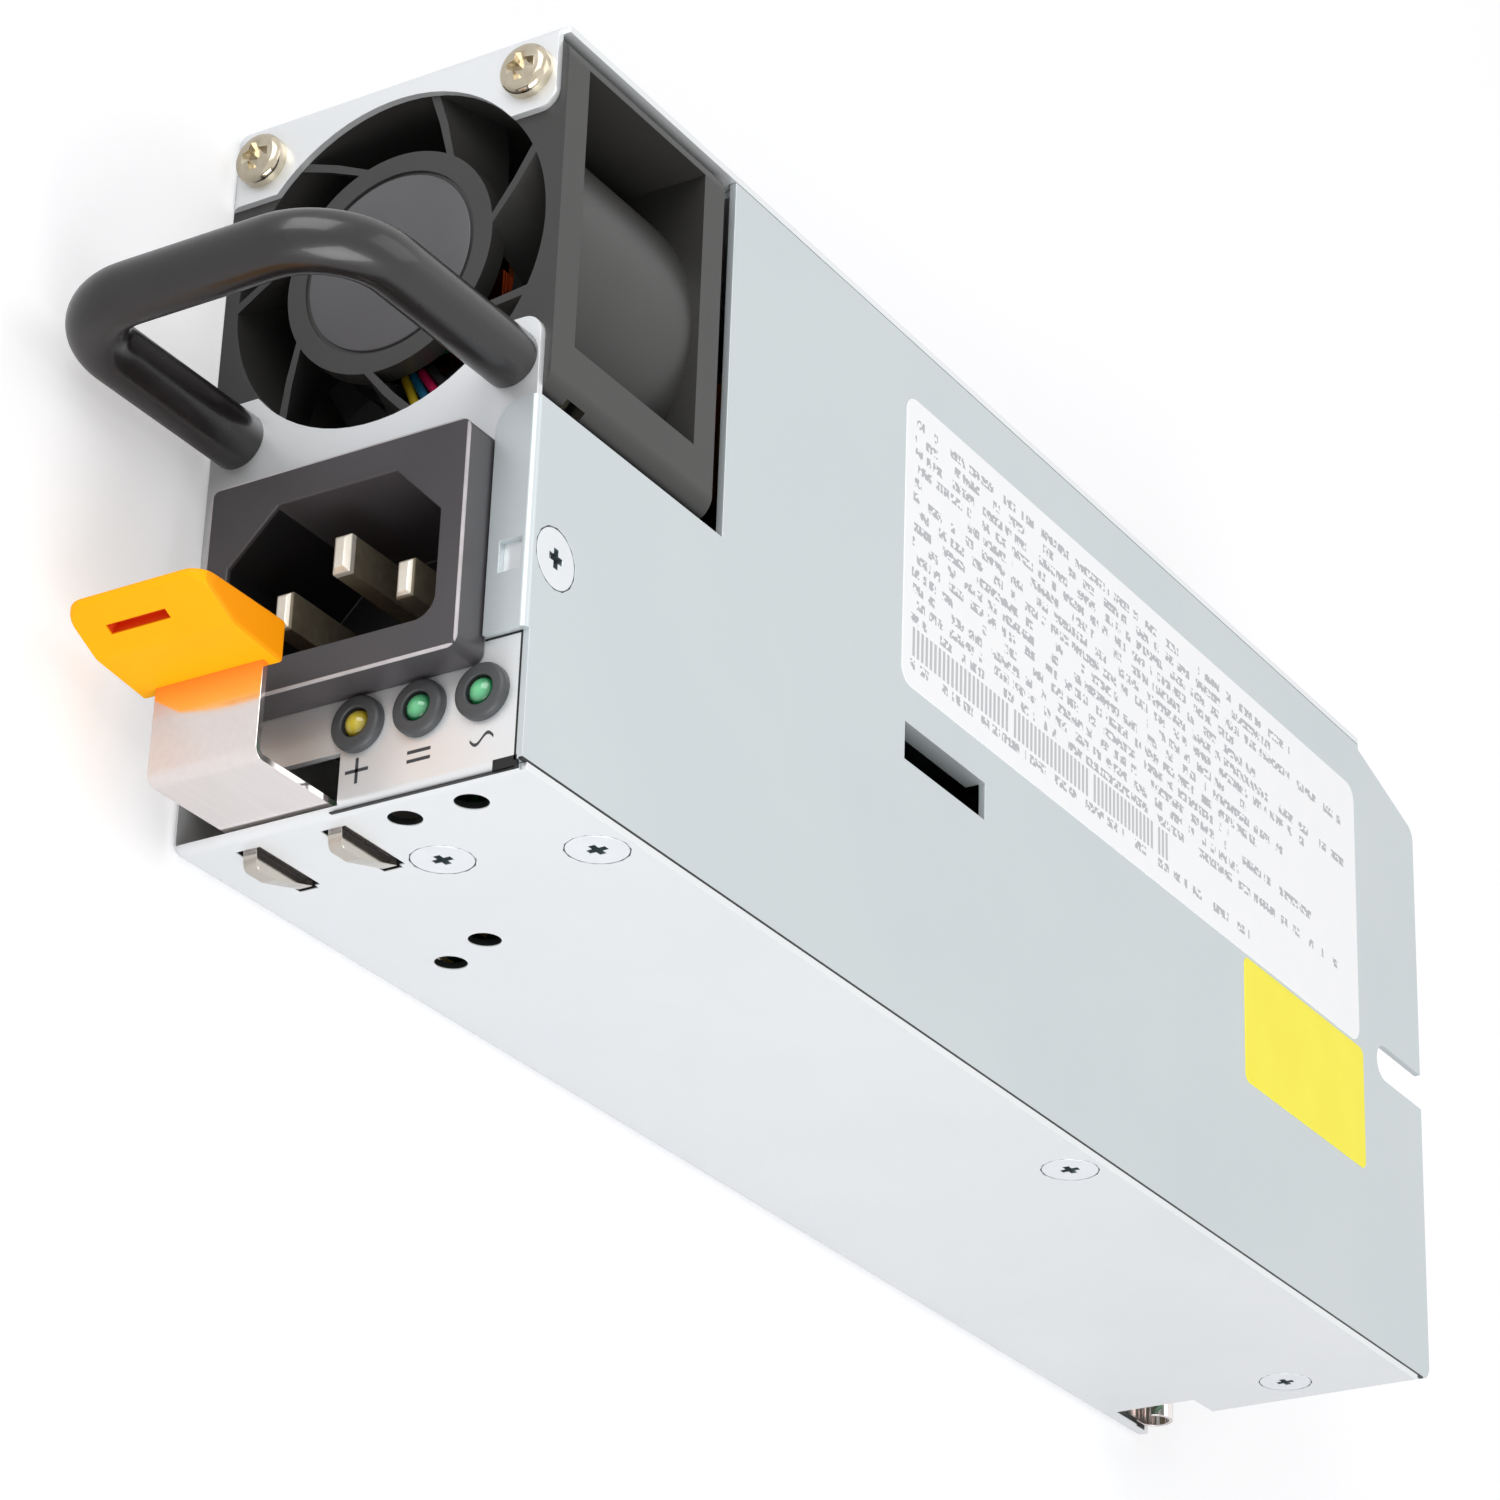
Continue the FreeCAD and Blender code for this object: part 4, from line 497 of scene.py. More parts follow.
def latch_metal():
    """Polished spring strip with a painted orange reflection of the tab; its catches outside the
    wall are a darker grey-beige.
    """
    material, nodes = finish("spring_strip_finish")
    grain = nodes.noise(1800, (1, 0.06, 1))
    outside = nodes.axis(0).above(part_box("tray")[1].x)
    plain = nodes.mix(grain, tint(238, 230, 228), tint(250, 243, 240))
    # Painted orange reflection of the tab, fading down the strip.
    beyond = (nodes.axis(0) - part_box("latch_tab")[1].x) * (1 / TAB_REFLECTION_REACH)
    plain = nodes.mix((1 - beyond).larger(0.0) * 0.75, plain, tint(255, 158, 104))
    # Catches outside the wall are a darker grey-beige.
    colour = nodes.mix(outside, plain, tint(206, 200, 190))
    nodes.surface(colour, 0.06 + 0.06 * grain, grain, 0.001 * MM, Metallic=0.94)
    return material


def tab_plastic():
    """Yellow-orange plastic, with painted red-orange shade down in the grip slot and painted orange
    shade on the tab's upper end.
    """
    material, nodes = finish("orange_tab_plastic")
    low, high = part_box("latch_tab")
    slope = Vector((TAB_KINK[0] - TAB_TIP, TAB_KINK[1], 0)).normalized()
    across = nodes.axis(0) - (low.x + TAB_TIP)
    back = nodes.axis(1) - low.y
    along = across * slope.x + back * slope.y
    depth = back * slope.x - across * slope.y
    # Painted shade down in the grip slot.
    slot = (along.near(TAB_SLOT_AT, TAB_SLOT_WIDE / 2 + TAB_SLOT_EDGE)
            * depth.near(TAB_SLOT_DEEP / 2 + TAB_SLOT_RIM, TAB_SLOT_DEEP / 2)
            * nodes.axis(2).near(low.z + TAB_SLOT_LOW + TAB_SLOT_LONG / 2,
                                 TAB_SLOT_LONG / 2 + TAB_SLOT_EDGE))
    # Painted shade on the tab's upper end.
    end = nodes.axis(2).above(high.z - TAB_SHADED_END)
    grain = nodes.noise(1500.0, detail=3.0)
    plain = nodes.mix(nodes.noise(90), tint(255, 172, 0), tint(255, 180, 0))
    plain = nodes.mix(end * 0.6, plain, tint(255, 140, 0))
    nodes.surface(nodes.mix(slot, plain, tint(238, 92, 30)), 0.42 + 0.12 * grain, grain, 0.003 * MM,
                  Specular_IOR_Level=0.15)
    return material


def lens(name, bright, deep, node):
    """A diffused lamp lens with a painted highlight that makes it paler in the middle."""
    material, nodes = finish(name)
    low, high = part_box(node)
    across = nodes.axis(0) - (low.x + high.x) / 2
    upright = nodes.axis(2) - (low.z + high.z) / 2
    share = (across * across + upright * upright) * (1 / LAMP_BORE ** 2)
    # Painted highlight in the middle of the lens.
    middle = (1 - share * 1.5).larger(0.0)
    cloud = nodes.noise(900)
    nodes.surface(nodes.mix(middle, deep, bright), 0.12 + 0.05 * cloud, Coat_Weight=0.8)
    return material


def circuit_resist():
    """Green resist over copper tracks on a glass-fibre board."""
    material, nodes = finish("green_resist")
    cells = nodes.add("ShaderNodeTexVoronoi", {"feature": "DISTANCE_TO_EDGE"},
                      {"Vector": nodes.place(), "Scale": 260.0})
    track = cells.near(0.0, 0.06)
    colour = nodes.mix(track, tint(22, 84, 48), tint(38, 116, 66))
    nodes.surface(colour, 0.32 + 0.1 * nodes.noise(900), track, 0.02 * MM)
    return material


def sintered():
    """Dark ferrite with pale pores."""
    material, nodes = finish("sintered_ferrite")
    pores = nodes.noise(1500, detail=6.0)
    nodes.surface(nodes.mix(pores, tint(44, 44, 46), tint(72, 72, 75)), 0.6, pores, 0.02 * MM)
    return material


def wrapped_tape():
    """Yellow tape in overlapping turns."""
    material, nodes = finish("yellow_tape")
    turns = nodes.add("ShaderNodeTexWave", {"bands_direction": "Z", "wave_profile": "SAW"},
                      {"Vector": nodes.place(), "Scale": 60.0})
    nodes.surface(nodes.mix(turns, tint(218, 176, 60), tint(236, 200, 92)), 0.35, turns, 0.03 * MM)
    return material


def rating_label():
    """White film with rows of plain grey specks, like distant print, and one strip of bars."""
    material, nodes = finish("speckled_rating_label")
    x0, y0, x1, y1 = LABEL
    across = nodes.axis(0)
    along = nodes.axis(1)
    row = (across - x0) * (1 / LABEL_ROW)
    number = row.math("FLOOR", row)
    scale, level = LABEL_WORDS
    words = nodes.noise_at(number * 3.7, along * scale, 1.0).above(level)
    reach = (1.7 * nodes.noise_at(number * 1.9) - 0.1) * (y1 - y0)
    scale, level = LABEL_LETTERS
    letters = nodes.noise(scale, (1, 1, 0), 1.0).above(level)
    low, high, far = LABEL_BARS
    text = (row.math("FRACT", row).near(0.5, 0.3) * words * reach.above(along - y0) * letters
            * across.between(x0 + LABEL_MARGIN, x1 - LABEL_MARGIN)
            * along.between(y0 + LABEL_MARGIN, y1 - LABEL_MARGIN)
            * (1 - across.between(low - LABEL_BARS_CLEAR, high + LABEL_BARS_CLEAR)))
    beat = along * (1 / LABEL_BAR)
    widths = nodes.noise_at(0.0, beat.math("FLOOR", beat) * 2.3)
    bars = (beat.math("FRACT", beat).near(0.5, 0.28) * widths.above(0.42)
            * across.between(low, high) * along.between(y0 + LABEL_MARGIN, far))
    paper = nodes.mix(nodes.noise(300), tint(247, 248, 250), tint(252, 252, 253))
    colour = nodes.mix(text * 0.66 + bars * 0.6, paper, tint(140, 144, 150))
    nodes.surface(colour, 0.38 + 0.1 * nodes.noise(1500), nodes.noise(2200), 0.003 * MM,
                  Specular_IOR_Level=0.2)
    return material


def plain_sticker(name, light, dark):
    """A bare film sticker with a faint orange-peel surface."""
    material, nodes = finish(name)
    nodes.surface(nodes.mix(nodes.noise(160), dark, light), 0.34, nodes.noise(1800), 0.004 * MM,
                  Specular_IOR_Level=0.25)
    return material


FINISHES = {
    "zinc_sheet": rolled_sheet("zinc_sheet_finish", tint(238, 240, 241), tint(230, 233, 235), 0.3),
    "spring_steel": latch_metal(),
    "steel": turned_metal("ground_steel", tint(190, 190, 192), tint(160, 160, 163)),
    "nickel": plated("warm_nickel", tint(226, 216, 196), tint(176, 164, 140), 0.1),
    "black_plastic": moulded("black_fan_plastic", tint(58, 57, 56), tint(46, 45, 44), 0.32),
    "inlet_plastic": inlet_plastic(),
    "white_plastic": moulded("white_nylon", tint(236, 233, 224), tint(222, 218, 206), 0.4),
    "orange_plastic": tab_plastic(),
    "black_coat": coated_bar(),
    "lamp_amber": lens("amber_lens", tint(204, 186, 58), tint(138, 120, 8), "lamp_fault"),
    "lamp_green": lens("input_lens", tint(104, 196, 140), tint(28, 112, 66), "lamp_input"),
    "lead_plastic": moulded("dark_lead_plastic", tint(40, 40, 42), tint(28, 28, 30), 0.4),
    "board_green": circuit_resist(),
    "gold": plated("gold_contacts", tint(236, 200, 110), tint(206, 166, 74), 0.2),
    "brass": turned_metal("turned_brass", tint(222, 192, 116), tint(188, 156, 84)),
    "copper": enamelled_wire(),
    "ferrite": sintered(),
    "tape_yellow": wrapped_tape(),
    "aluminium": turned_metal("extruded_aluminium", tint(206, 208, 210), tint(182, 184, 187)),
    "sleeve_dark": moulded("shrink_sleeve", tint(44, 48, 64), tint(30, 34, 46), 0.28),
    "insulator_film": plain_sticker("insulating_film", tint(232, 231, 218), tint(222, 220, 204)),
    "fuse_ceramic": moulded("fuse_ceramic", tint(232, 228, 214), tint(218, 212, 196), 0.3),
    # Finishes of single pieces
    "tray_sheet": tray_sheet(),
    # Painted shade: the same plated sheet as the tray, darker and bluer on the cover's top.
    "painted_shade_cover": rolled_sheet("painted_shade_cover_finish", tint(208, 215, 217), tint(199, 207, 210),
                                0.34),
    # Painted shade: a darker sheet for the lamp bracket seen through a wall hole.
    "painted_shade_bracket": rolled_sheet("painted_shade_bracket_finish", tint(92, 92, 94), tint(76, 76, 78), 0.4),
    # Painted shade: a darker copy of the fan's black plastic for the wheel inside the duct.
    "painted_shade_rotor_plastic": moulded("painted_shade_rotor_plastic", tint(36, 35, 35), tint(28, 27, 27), 0.34),
    "ring_plastic": moulded("grey_ring_plastic", tint(74, 76, 78), tint(62, 64, 66), 0.4),
    "pin_plate": pin_metal(),
    "wall_screw": screw_zinc("wall_screw_zinc", 0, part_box("tray")[1].x),
    "cover_screw": screw_zinc("cover_screw_zinc", 2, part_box("cover_screw")[1].z),
    "lamp_output": lens("output_lens", tint(104, 196, 140), tint(28, 112, 66), "lamp_output"),
    "mark_ink": plain_sticker("mark_ink", tint(70, 72, 76), tint(58, 60, 64)),
    "seam_shadow": plain_sticker("seam_shadow", tint(44, 45, 46), tint(34, 35, 36)),
    "motor_disc": plain_sticker("grey_disc_film", tint(92, 91, 93), tint(84, 83, 85)),
    "label_print": rating_label(),
    "yellow_film": plain_sticker("yellow_film", tint(255, 244, 66), tint(250, 236, 52)),
}


# Making pieces


def piece_of(mesh, name, body, slot, coat=None, replaced=(), sharp=SHARP_OVER):
    """Adds a mesh to the object as one piece on a body. coat is a finish other than the slot's."""
    mesh.shade_smooth()
    mesh.set_sharp_from_angle(angle=math.radians(sharp))
    mesh.materials.clear()
    mesh.materials.append(FINISHES[coat or slot])
    piece = bpy.data.objects.new(name, mesh)
    bpy.context.scene.collection.objects.link(piece)
    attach(piece, body)
    if replaced:
        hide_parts(*replaced)
    return piece


def add_piece(bm, name, body, slot, coat=None, replaced=(), sharp=SHARP_OVER):
    bmesh.ops.recalc_face_normals(bm, faces=bm.faces)
    mesh = bpy.data.meshes.new(name)
    bm.to_mesh(mesh)
    bm.free()
    return piece_of(mesh, name, body, slot, coat, replaced, sharp)


def softened(node, name, width, body, coat):
    """A copy of a CAD piece with its sharp edges slightly rounded."""
    bm = bmesh.new()
    bm.from_mesh(frame["nodes"][node].data)
    bmesh.ops.remove_doubles(bm, verts=bm.verts, dist=WELD)
    bmesh.ops.dissolve_limit(bm, angle_limit=math.radians(FLAT_UNDER), verts=bm.verts,
                             edges=bm.edges)
    edges = [e for e in bm.edges
             if len(e.link_faces) == 2 and e.calc_face_angle() > math.radians(SOFTEN_OVER)]
    bmesh.ops.bevel(bm, geom=edges, offset=width, offset_type="OFFSET", affect="EDGES",
                    segments=2, profile=0.5, clamp_overlap=True, material=-1)
    mesh = bpy.data.meshes.new(name)
    bm.to_mesh(mesh)
    bm.free()
    piece = piece_of(mesh, name, body, SLOT_OF[node], coat, (node,))
    even_shading(piece)
    return piece


def even_shading(piece):
    """Lets the large flat faces set the shading, and the narrow ones follow."""
    even = piece.modifiers.new("even_shading", "WEIGHTED_NORMAL")
    even.keep_sharp = True
    even.weight = 100


def carved(piece, cutter_bm, sharp=SHARP_OVER):
    """Takes a cutter's shape out of a piece."""
    cutter_mesh = bpy.data.meshes.new("cutter")
    bmesh.ops.recalc_face_normals(cutter_bm, faces=cutter_bm.faces)
    cutter_bm.to_mesh(cutter_mesh)
    cutter_bm.free()
    cutter = bpy.data.objects.new("cutter", cutter_mesh)
    bpy.context.scene.collection.objects.link(cutter)
    carve = piece.modifiers.new("carve", "BOOLEAN")
    carve.operation = "DIFFERENCE"
    carve.solver = "EXACT"
    carve.use_self = True
    carve.object = cutter
    whole = piece.evaluated_get(bpy.context.evaluated_depsgraph_get())
    shaped = bpy.data.meshes.new_from_object(whole)
    piece.modifiers.clear()
    piece.data = shaped
    bpy.data.objects.remove(cutter)
    shaped.shade_smooth()
    shaped.set_sharp_from_angle(angle=math.radians(sharp))
    even_shading(piece)


def turn_towards(direction):
    """The turn that takes +Z to a direction."""
    return Vector((0, 0, 1)).rotation_difference(Vector(direction)).to_matrix().to_4x4()


def block(bm, low, high):
    """A plain block between two corners."""
    made = bmesh.ops.create_cube(bm, size=1.0)["verts"]
    size = [b - a for a, b in zip(low, high)]
    middle = [(a + b) / 2 for a, b in zip(low, high)]
    place = Matrix.Translation(middle) @ Matrix.Diagonal((*size, 1))
    bmesh.ops.transform(bm, matrix=place, verts=made)


def spin_profile(bm, points, at, out, steps=TURNED_STEPS):
    """Turns a profile of (radius, height) about an axis through at, with height along out."""
    before = set(bm.verts)
    verts = [bm.verts.new((radius, 0, height)) for radius, height in points]
    edges = [bm.edges.new(pair) for pair in zip(verts, verts[1:])]
    bmesh.ops.spin(bm, geom=verts + edges, cent=(0, 0, 0), axis=(0, 0, 1), dvec=(0, 0, 0),
                   angle=2 * math.pi, steps=steps, use_merge=True, use_duplicate=False)
    made = [v for v in bm.verts if v not in before]
    bmesh.ops.remove_doubles(bm, verts=made, dist=TURNED_WELD)
    made = [v for v in bm.verts if v not in before]
    bmesh.ops.transform(bm, matrix=Matrix.Translation(at) @ turn_towards(out), verts=made)


def rounded_plate(low, high, corner, edge):
    """A flat plate with round corners in plan and a slightly broken upper edge."""
    bm = bmesh.new()
    block(bm, low, high)
    thick = high[2] - low[2]
    upright = [e for e in bm.edges if abs(e.verts[0].co.z - e.verts[1].co.z) > thick / 2]
    bmesh.ops.bevel(bm, geom=upright, offset=corner, offset_type="OFFSET", affect="EDGES",
                    segments=PLATE_STEPS, profile=0.5, material=-1)
    rim = [e for e in bm.edges if min(v.co.z for v in e.verts) > high[2] - thick / 4]
    bmesh.ops.bevel(bm, geom=rim, offset=edge, offset_type="OFFSET", affect="EDGES",
                    segments=1, profile=0.5, material=-1)
    return bm


SLOT_OF = {part["node"]: part["material_slot"] for part in frame["record"]["subparts"]}
for node, cad in frame["nodes"].items():
    # The lamp bracket gets the darker sheet as painted shade.
    coat = "painted_shade_bracket" if node == "lamp_bracket" else SLOT_OF[node]
    cad.data.materials.clear()
    cad.data.materials.append(FINISHES[coat])


# Folded and moulded pieces with rounded edges


def opened_tray(tray):
    """Cuts the face away below the latch strip, and the slots wider than the catches."""
    low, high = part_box("tray")
    strip_low, strip_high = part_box("latch_spring")
    face = low.y
    inner = high.x - SHEET
    cutter = bmesh.new()
    block(cutter, (inner - WINDOW_WIDE, face - BEYOND, low.z + SHEET),
          (inner, face + 2 * SHEET, strip_low.z))
    for z in (strip_low.z + SLOT_LOWER, strip_high.z - SLOT_UPPER):
        block(cutter, (inner - SLOT_INSIDE, face + SLOT_START, z),
              (high.x + BEYOND, face + SLOT_START + SLOT_LONG, z + SLOT_HIGH))
    carved(tray, cutter)


for node, name, width, body, coat in SOFTENED:
    piece = softened(node, name, width * MM, body, coat)
    if node == "tray":
        opened_tray(piece)


def handle_bail():
    """The round bar with its two bends."""
    low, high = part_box("handle")
    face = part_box("tray")[0].y
    radius = (high.x - low.x) / 2
    across = (high.x + low.x) / 2
    front = low.y + radius
    foot = low.z + radius
    head = high.z - radius
    bm = bmesh.new()
    made = bmesh.ops.create_circle(bm, cap_ends=True, segments=HANDLE_SIDES, radius=radius)
    start = Matrix.Translation((across, face, foot)) @ turn_towards((0, -1, 0))
    bmesh.ops.transform(bm, matrix=start, verts=made["verts"])
    ring = list(bm.edges)
    ring = run(bm, ring, (0, front + HANDLE_BEND - face, 0))
    ring = bend(bm, ring, (across, front + HANDLE_BEND, foot + HANDLE_BEND), -90)
    ring = run(bm, ring, (0, 0, head - foot - 2 * HANDLE_BEND))
    ring = bend(bm, ring, (across, front + HANDLE_BEND, head - HANDLE_BEND), -90)
    ring = run(bm, ring, (0, face - front - HANDLE_BEND, 0))
    bmesh.ops.contextual_create(bm, geom=ring)
    add_piece(bm, "handle_bail", CHASSIS, "black_coat", replaced=("handle",))


def run(bm, ring, step):
    """Carries a ring of edges straight on."""
    made = bmesh.ops.extrude_edge_only(bm, edges=ring)["geom"]
    bmesh.ops.translate(bm, vec=step, verts=[v for v in made if isinstance(v, bmesh.types.BMVert)])
    return [e for e in made if isinstance(e, bmesh.types.BMEdge)]


def bend(bm, ring, centre, degrees):
    """Carries a ring of edges round a bend about an axis along X."""
    corners = list({v for e in ring for v in e.verts})
    made = bmesh.ops.spin(bm, geom=corners + ring, cent=centre, axis=(1, 0, 0), dvec=(0, 0, 0),
                          angle=math.radians(degrees), steps=BEND_STEPS, use_merge=False,
                          use_duplicate=False)
    return [e for e in made["geom_last"] if isinstance(e, bmesh.types.BMEdge)]


def cross_cutter(bm, at, out, head, reach):
    """A tapered cross for the recess of a screw head. reach is its share of the head."""
    arms = head * reach
    for turn in (0, 90):
        verts = bmesh.ops.create_cube(bm, size=1.0)["verts"]
        bmesh.ops.scale(bm, vec=(arms, arms * CROSS_ARM, head * CROSS_DEEP), verts=verts)
        for v in verts:
            if v.co.z < 0:
                v.co.x *= CROSS_NARROWS[0]
                v.co.y *= CROSS_NARROWS[1]
        place = (Matrix.Translation(at) @ turn_towards(out)
                 @ Matrix.Rotation(math.radians(turn), 4, "Z"))
        bmesh.ops.transform(bm, matrix=place, verts=verts)


def flush_screws(name, node, points, out, coat):
    """Countersunk screws whose faces lie level with the sheet."""
    bm = bmesh.new()
    cutter = bmesh.new()
    profile = [(0, 0), (FLUSH_HEAD - FLUSH_RIM, 0), (FLUSH_HEAD, -FLUSH_RIM_DEEP),
               (FLUSH_UNDER, -SHEET), (0, -SHEET)]
    for at in points:
        spin_profile(bm, profile, at, out)
        cross_cutter(cutter, at, out, FLUSH_HEAD, FLUSH_CROSS)
    piece = add_piece(bm, name, CHASSIS, "nickel", coat, (node,), HEAD_SHARP_OVER)
    carved(piece, cutter, HEAD_SHARP_OVER)


def islands(node):
    """The box round each separate solid of a CAD node, as its lowest and highest corner."""
    bm = bmesh.new()
    bm.from_mesh(frame["nodes"][node].data)
    bmesh.ops.remove_doubles(bm, verts=bm.verts, dist=WELD)
    left = set(bm.verts)
    boxes = []
    while left:
        group = {left.pop()}
        edge = list(group)
        while edge:
            corner = edge.pop()
            for link in corner.link_edges:
                other = link.other_vert(corner)
                if other in left:
                    left.remove(other)
                    group.add(other)
                    edge.append(other)
        low = Vector([min(v.co[i] for v in group) for i in range(3)])
        high = Vector([max(v.co[i] for v in group) for i in range(3)])
        boxes.append((low, high))
    bm.free()
    return boxes


def all_flush_screws():
    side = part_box("tray")[1].x
    points = [Vector((side, (a.y + b.y) / 2, (a.z + b.z) / 2)) for a, b in islands("wall_screws")]
    flush_screws("wall_flush_screws", "wall_screws", points, (1, 0, 0), "wall_screw")
    a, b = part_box("cover_screw")
    middle = Vector(((a.x + b.x) / 2, (a.y + b.y) / 2, b.z))
    flush_screws("cover_flush_screw", "cover_screw", [middle], (0, 0, 1), "cover_screw")


def fan_pan_screws():
    """Pan-head screws with a cross, in the fan's outer corners."""
    bm = bmesh.new()
    cutter = bmesh.new()
    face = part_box("tray")[0].y
    profile = [(0, PAN_HEIGHT), (PAN_TOP / 2, PAN_HEIGHT - PAN_CROWN / 4)]
    shoulder = PAN_HEAD - PAN_TOP
    profile += [(PAN_TOP + shoulder * math.sin(a),
                 PAN_HEIGHT - PAN_CROWN - shoulder * (1 - math.cos(a)))
                for a in (math.radians(d) for d in range(0, 91, 15))]
    profile += [(PAN_HEAD, 0), (PAN_SHANK, 0), (PAN_SHANK, -PAN_LENGTH), (0, -PAN_LENGTH)]
    for a, b in islands("fan_screws"):
        at = Vector(((a.x + b.x) / 2, face, (a.z + b.z) / 2))
        spin_profile(bm, profile, at, (0, -1, 0))
        cross_cutter(cutter, at - Vector((0, PAN_HEIGHT, 0)), (0, -1, 0), PAN_HEAD, PAN_CROSS)
    piece = add_piece(bm, "fan_pan_screws", CHASSIS, "nickel", replaced=("fan_screws",))
    carved(piece, cutter)


def lamps():
    """Three ring bezels, each with its domed lens."""
    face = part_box("tray")[0].y
    rings = bmesh.new()
    corner = LAMP_RING_ROUND
    bezel = [(LAMP_BORE, 0), (LAMP_BORE, LAMP_RING_HEIGHT - LAMP_RING_LIP),
             (LAMP_BORE + LAMP_RING_LIP, LAMP_RING_HEIGHT), (LAMP_RING - corner, LAMP_RING_HEIGHT)]
    bezel += [(LAMP_RING - corner * (1 - math.sin(a)),
               LAMP_RING_HEIGHT - corner * (1 - math.cos(a)))
              for a in (math.radians(d) for d in (22, 45, 67, 90))]
    bezel += [(LAMP_RING, 0), (LAMP_BORE, 0)]
    radius = LAMP_BORE - LAMP_ROOM
    round_off = radius - LAMP_DOME
    for node, coat in (("lamp_fault", "lamp_amber"), ("lamp_output", "lamp_output"),
                       ("lamp_input", "lamp_green")):
        a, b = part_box(node)
        at = Vector(((a.x + b.x) / 2, face, (a.z + b.z) / 2))
        spin_profile(rings, bezel, at, (0, -1, 0))
        top = face - a.y
        dome = [(radius * math.sin(t), top - round_off * (1 - math.cos(t)))
                for t in (math.radians(d) for d in range(0, 91, 15))]
        stem = bmesh.new()
        spin_profile(stem, dome + [(radius, face - b.y), (0, face - b.y)], at, (0, -1, 0))
        add_piece(stem, node + "_lens", CHASSIS, SLOT_OF[node], coat, (node,), LENS_SHARP_OVER)
    add_piece(rings, "lamp_bezel_rings", CHASSIS, "black_plastic", "ring_plastic", ("lamp_bezels",))


def lamp_marks():
    """Plain printed marks beside the lamps: a cross, two bars and a wave."""
    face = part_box("tray")[0].y
    bm = bmesh.new()
    for node, shape in (("lamp_fault", "cross"), ("lamp_output", "bars"), ("lamp_input", "wave")):
        a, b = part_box(node)
        at = Vector(((a.x + b.x) / 2 + MARK_ASIDE, face, (a.z + b.z) / 2))
        for turn, shift in MARK_STROKES[shape]:
            made = bmesh.ops.create_grid(bm, x_segments=MARK_STEPS, y_segments=1, size=0.5)["verts"]
            bmesh.ops.scale(bm, vec=(2 * MARK_REACH, MARK_LINE, 1), verts=made)
            if shape == "wave":
                for v in made:
                    v.co.y += MARK_SWING * math.sin(math.pi * v.co.x / MARK_REACH)
            bmesh.ops.translate(bm, vec=(0, shift, 0), verts=made)
            place = (Matrix.Translation(at) @ turn_towards((0, -1, 0))
                     @ Matrix.Rotation(math.radians(turn), 4, "Z"))
            bmesh.ops.transform(bm, matrix=place, verts=made)
    lifted = bmesh.ops.extrude_face_region(bm, geom=list(bm.faces))["geom"]
    bmesh.ops.translate(bm, vec=(0, -MARK_FILM, 0),
                        verts=[v for v in lifted if isinstance(v, bmesh.types.BMVert)])
    add_piece(bm, "lamp_marks", CHASSIS, "black_plastic", "mark_ink")


def finger_tab():
    """The soft-edged orange tab with its narrow grip slot."""
    low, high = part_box("latch_tab")
    tip = Vector((low.x + TAB_TIP, low.y, low.z))
    kink = Vector((low.x + TAB_KINK[0], low.y + TAB_KINK[1], low.z))
    outline = [(low.x, low.y), (tip.x, tip.y), (kink.x, kink.y), (high.x, high.y), (low.x, high.y)]
    bm = bmesh.new()
    side = bm.faces.new([bm.verts.new((x, y, low.z)) for x, y in outline])
    made = bmesh.ops.extrude_face_region(bm, geom=[side])["geom"]
    bmesh.ops.translate(bm, vec=(0, 0, high.z - low.z),
                        verts=[v for v in made if isinstance(v, bmesh.types.BMVert)])
    bmesh.ops.recalc_face_normals(bm, faces=bm.faces)
    front = [e for e in bm.edges if max(v.co.y for v in e.verts) < low.y + TAB_FRONT
             and abs(e.verts[0].co.x - e.verts[1].co.x) > TAB_TIP / 2]
    bmesh.ops.bevel(bm, geom=front, offset=TAB_CORNER, offset_type="OFFSET", affect="EDGES",
                    segments=TAB_STEPS[0], profile=0.5, clamp_overlap=True, material=-1)
    corners = [e for e in bm.edges if e.calc_face_angle() > math.radians(TAB_SOFTEN_OVER)]
    bmesh.ops.bevel(bm, geom=corners, offset=TAB_ROUND, offset_type="OFFSET", affect="EDGES",
                    segments=TAB_STEPS[1], profile=0.5, clamp_overlap=True, material=-1)
    piece = add_piece(bm, "finger_tab", LATCH, "orange_plastic", replaced=("latch_tab",),
                      sharp=TAB_SHARP_OVER)
    slope = (kink - tip).normalized()
    inward = Vector((-slope.y, slope.x, 0))
    mouth = tip + slope * TAB_SLOT_AT + Vector((0, 0, TAB_SLOT_LOW + TAB_SLOT_LONG / 2))
    slot = bmesh.new()
    made = bmesh.ops.create_cube(slot, size=1.0)["verts"]
    bmesh.ops.scale(slot, vec=(TAB_SLOT_WIDE, 2 * TAB_SLOT_DEEP, TAB_SLOT_LONG), verts=made)
    frame_of_slot = Matrix((slope, inward, (0, 0, 1))).transposed().to_4x4()
    bmesh.ops.transform(slot, matrix=Matrix.Translation(mouth) @ frame_of_slot, verts=made)
    carved(piece, slot)


def flat_films():
    """The label and the bare sticker on the cover."""
    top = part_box("cover")[1].z
    for name, (x0, y0, x1, y1), corner, slot, coat in (
            ("rating_label", LABEL, LABEL_CORNER, "white_plastic", "label_print"),
            ("yellow_sticker", STICKER, STICKER_CORNER, "tape_yellow", "yellow_film")):
        bm = rounded_plate((x0, y0, top), (x1, y1, top + FILM), corner, FILM_EDGE)
        add_piece(bm, name, CHASSIS, slot, coat)


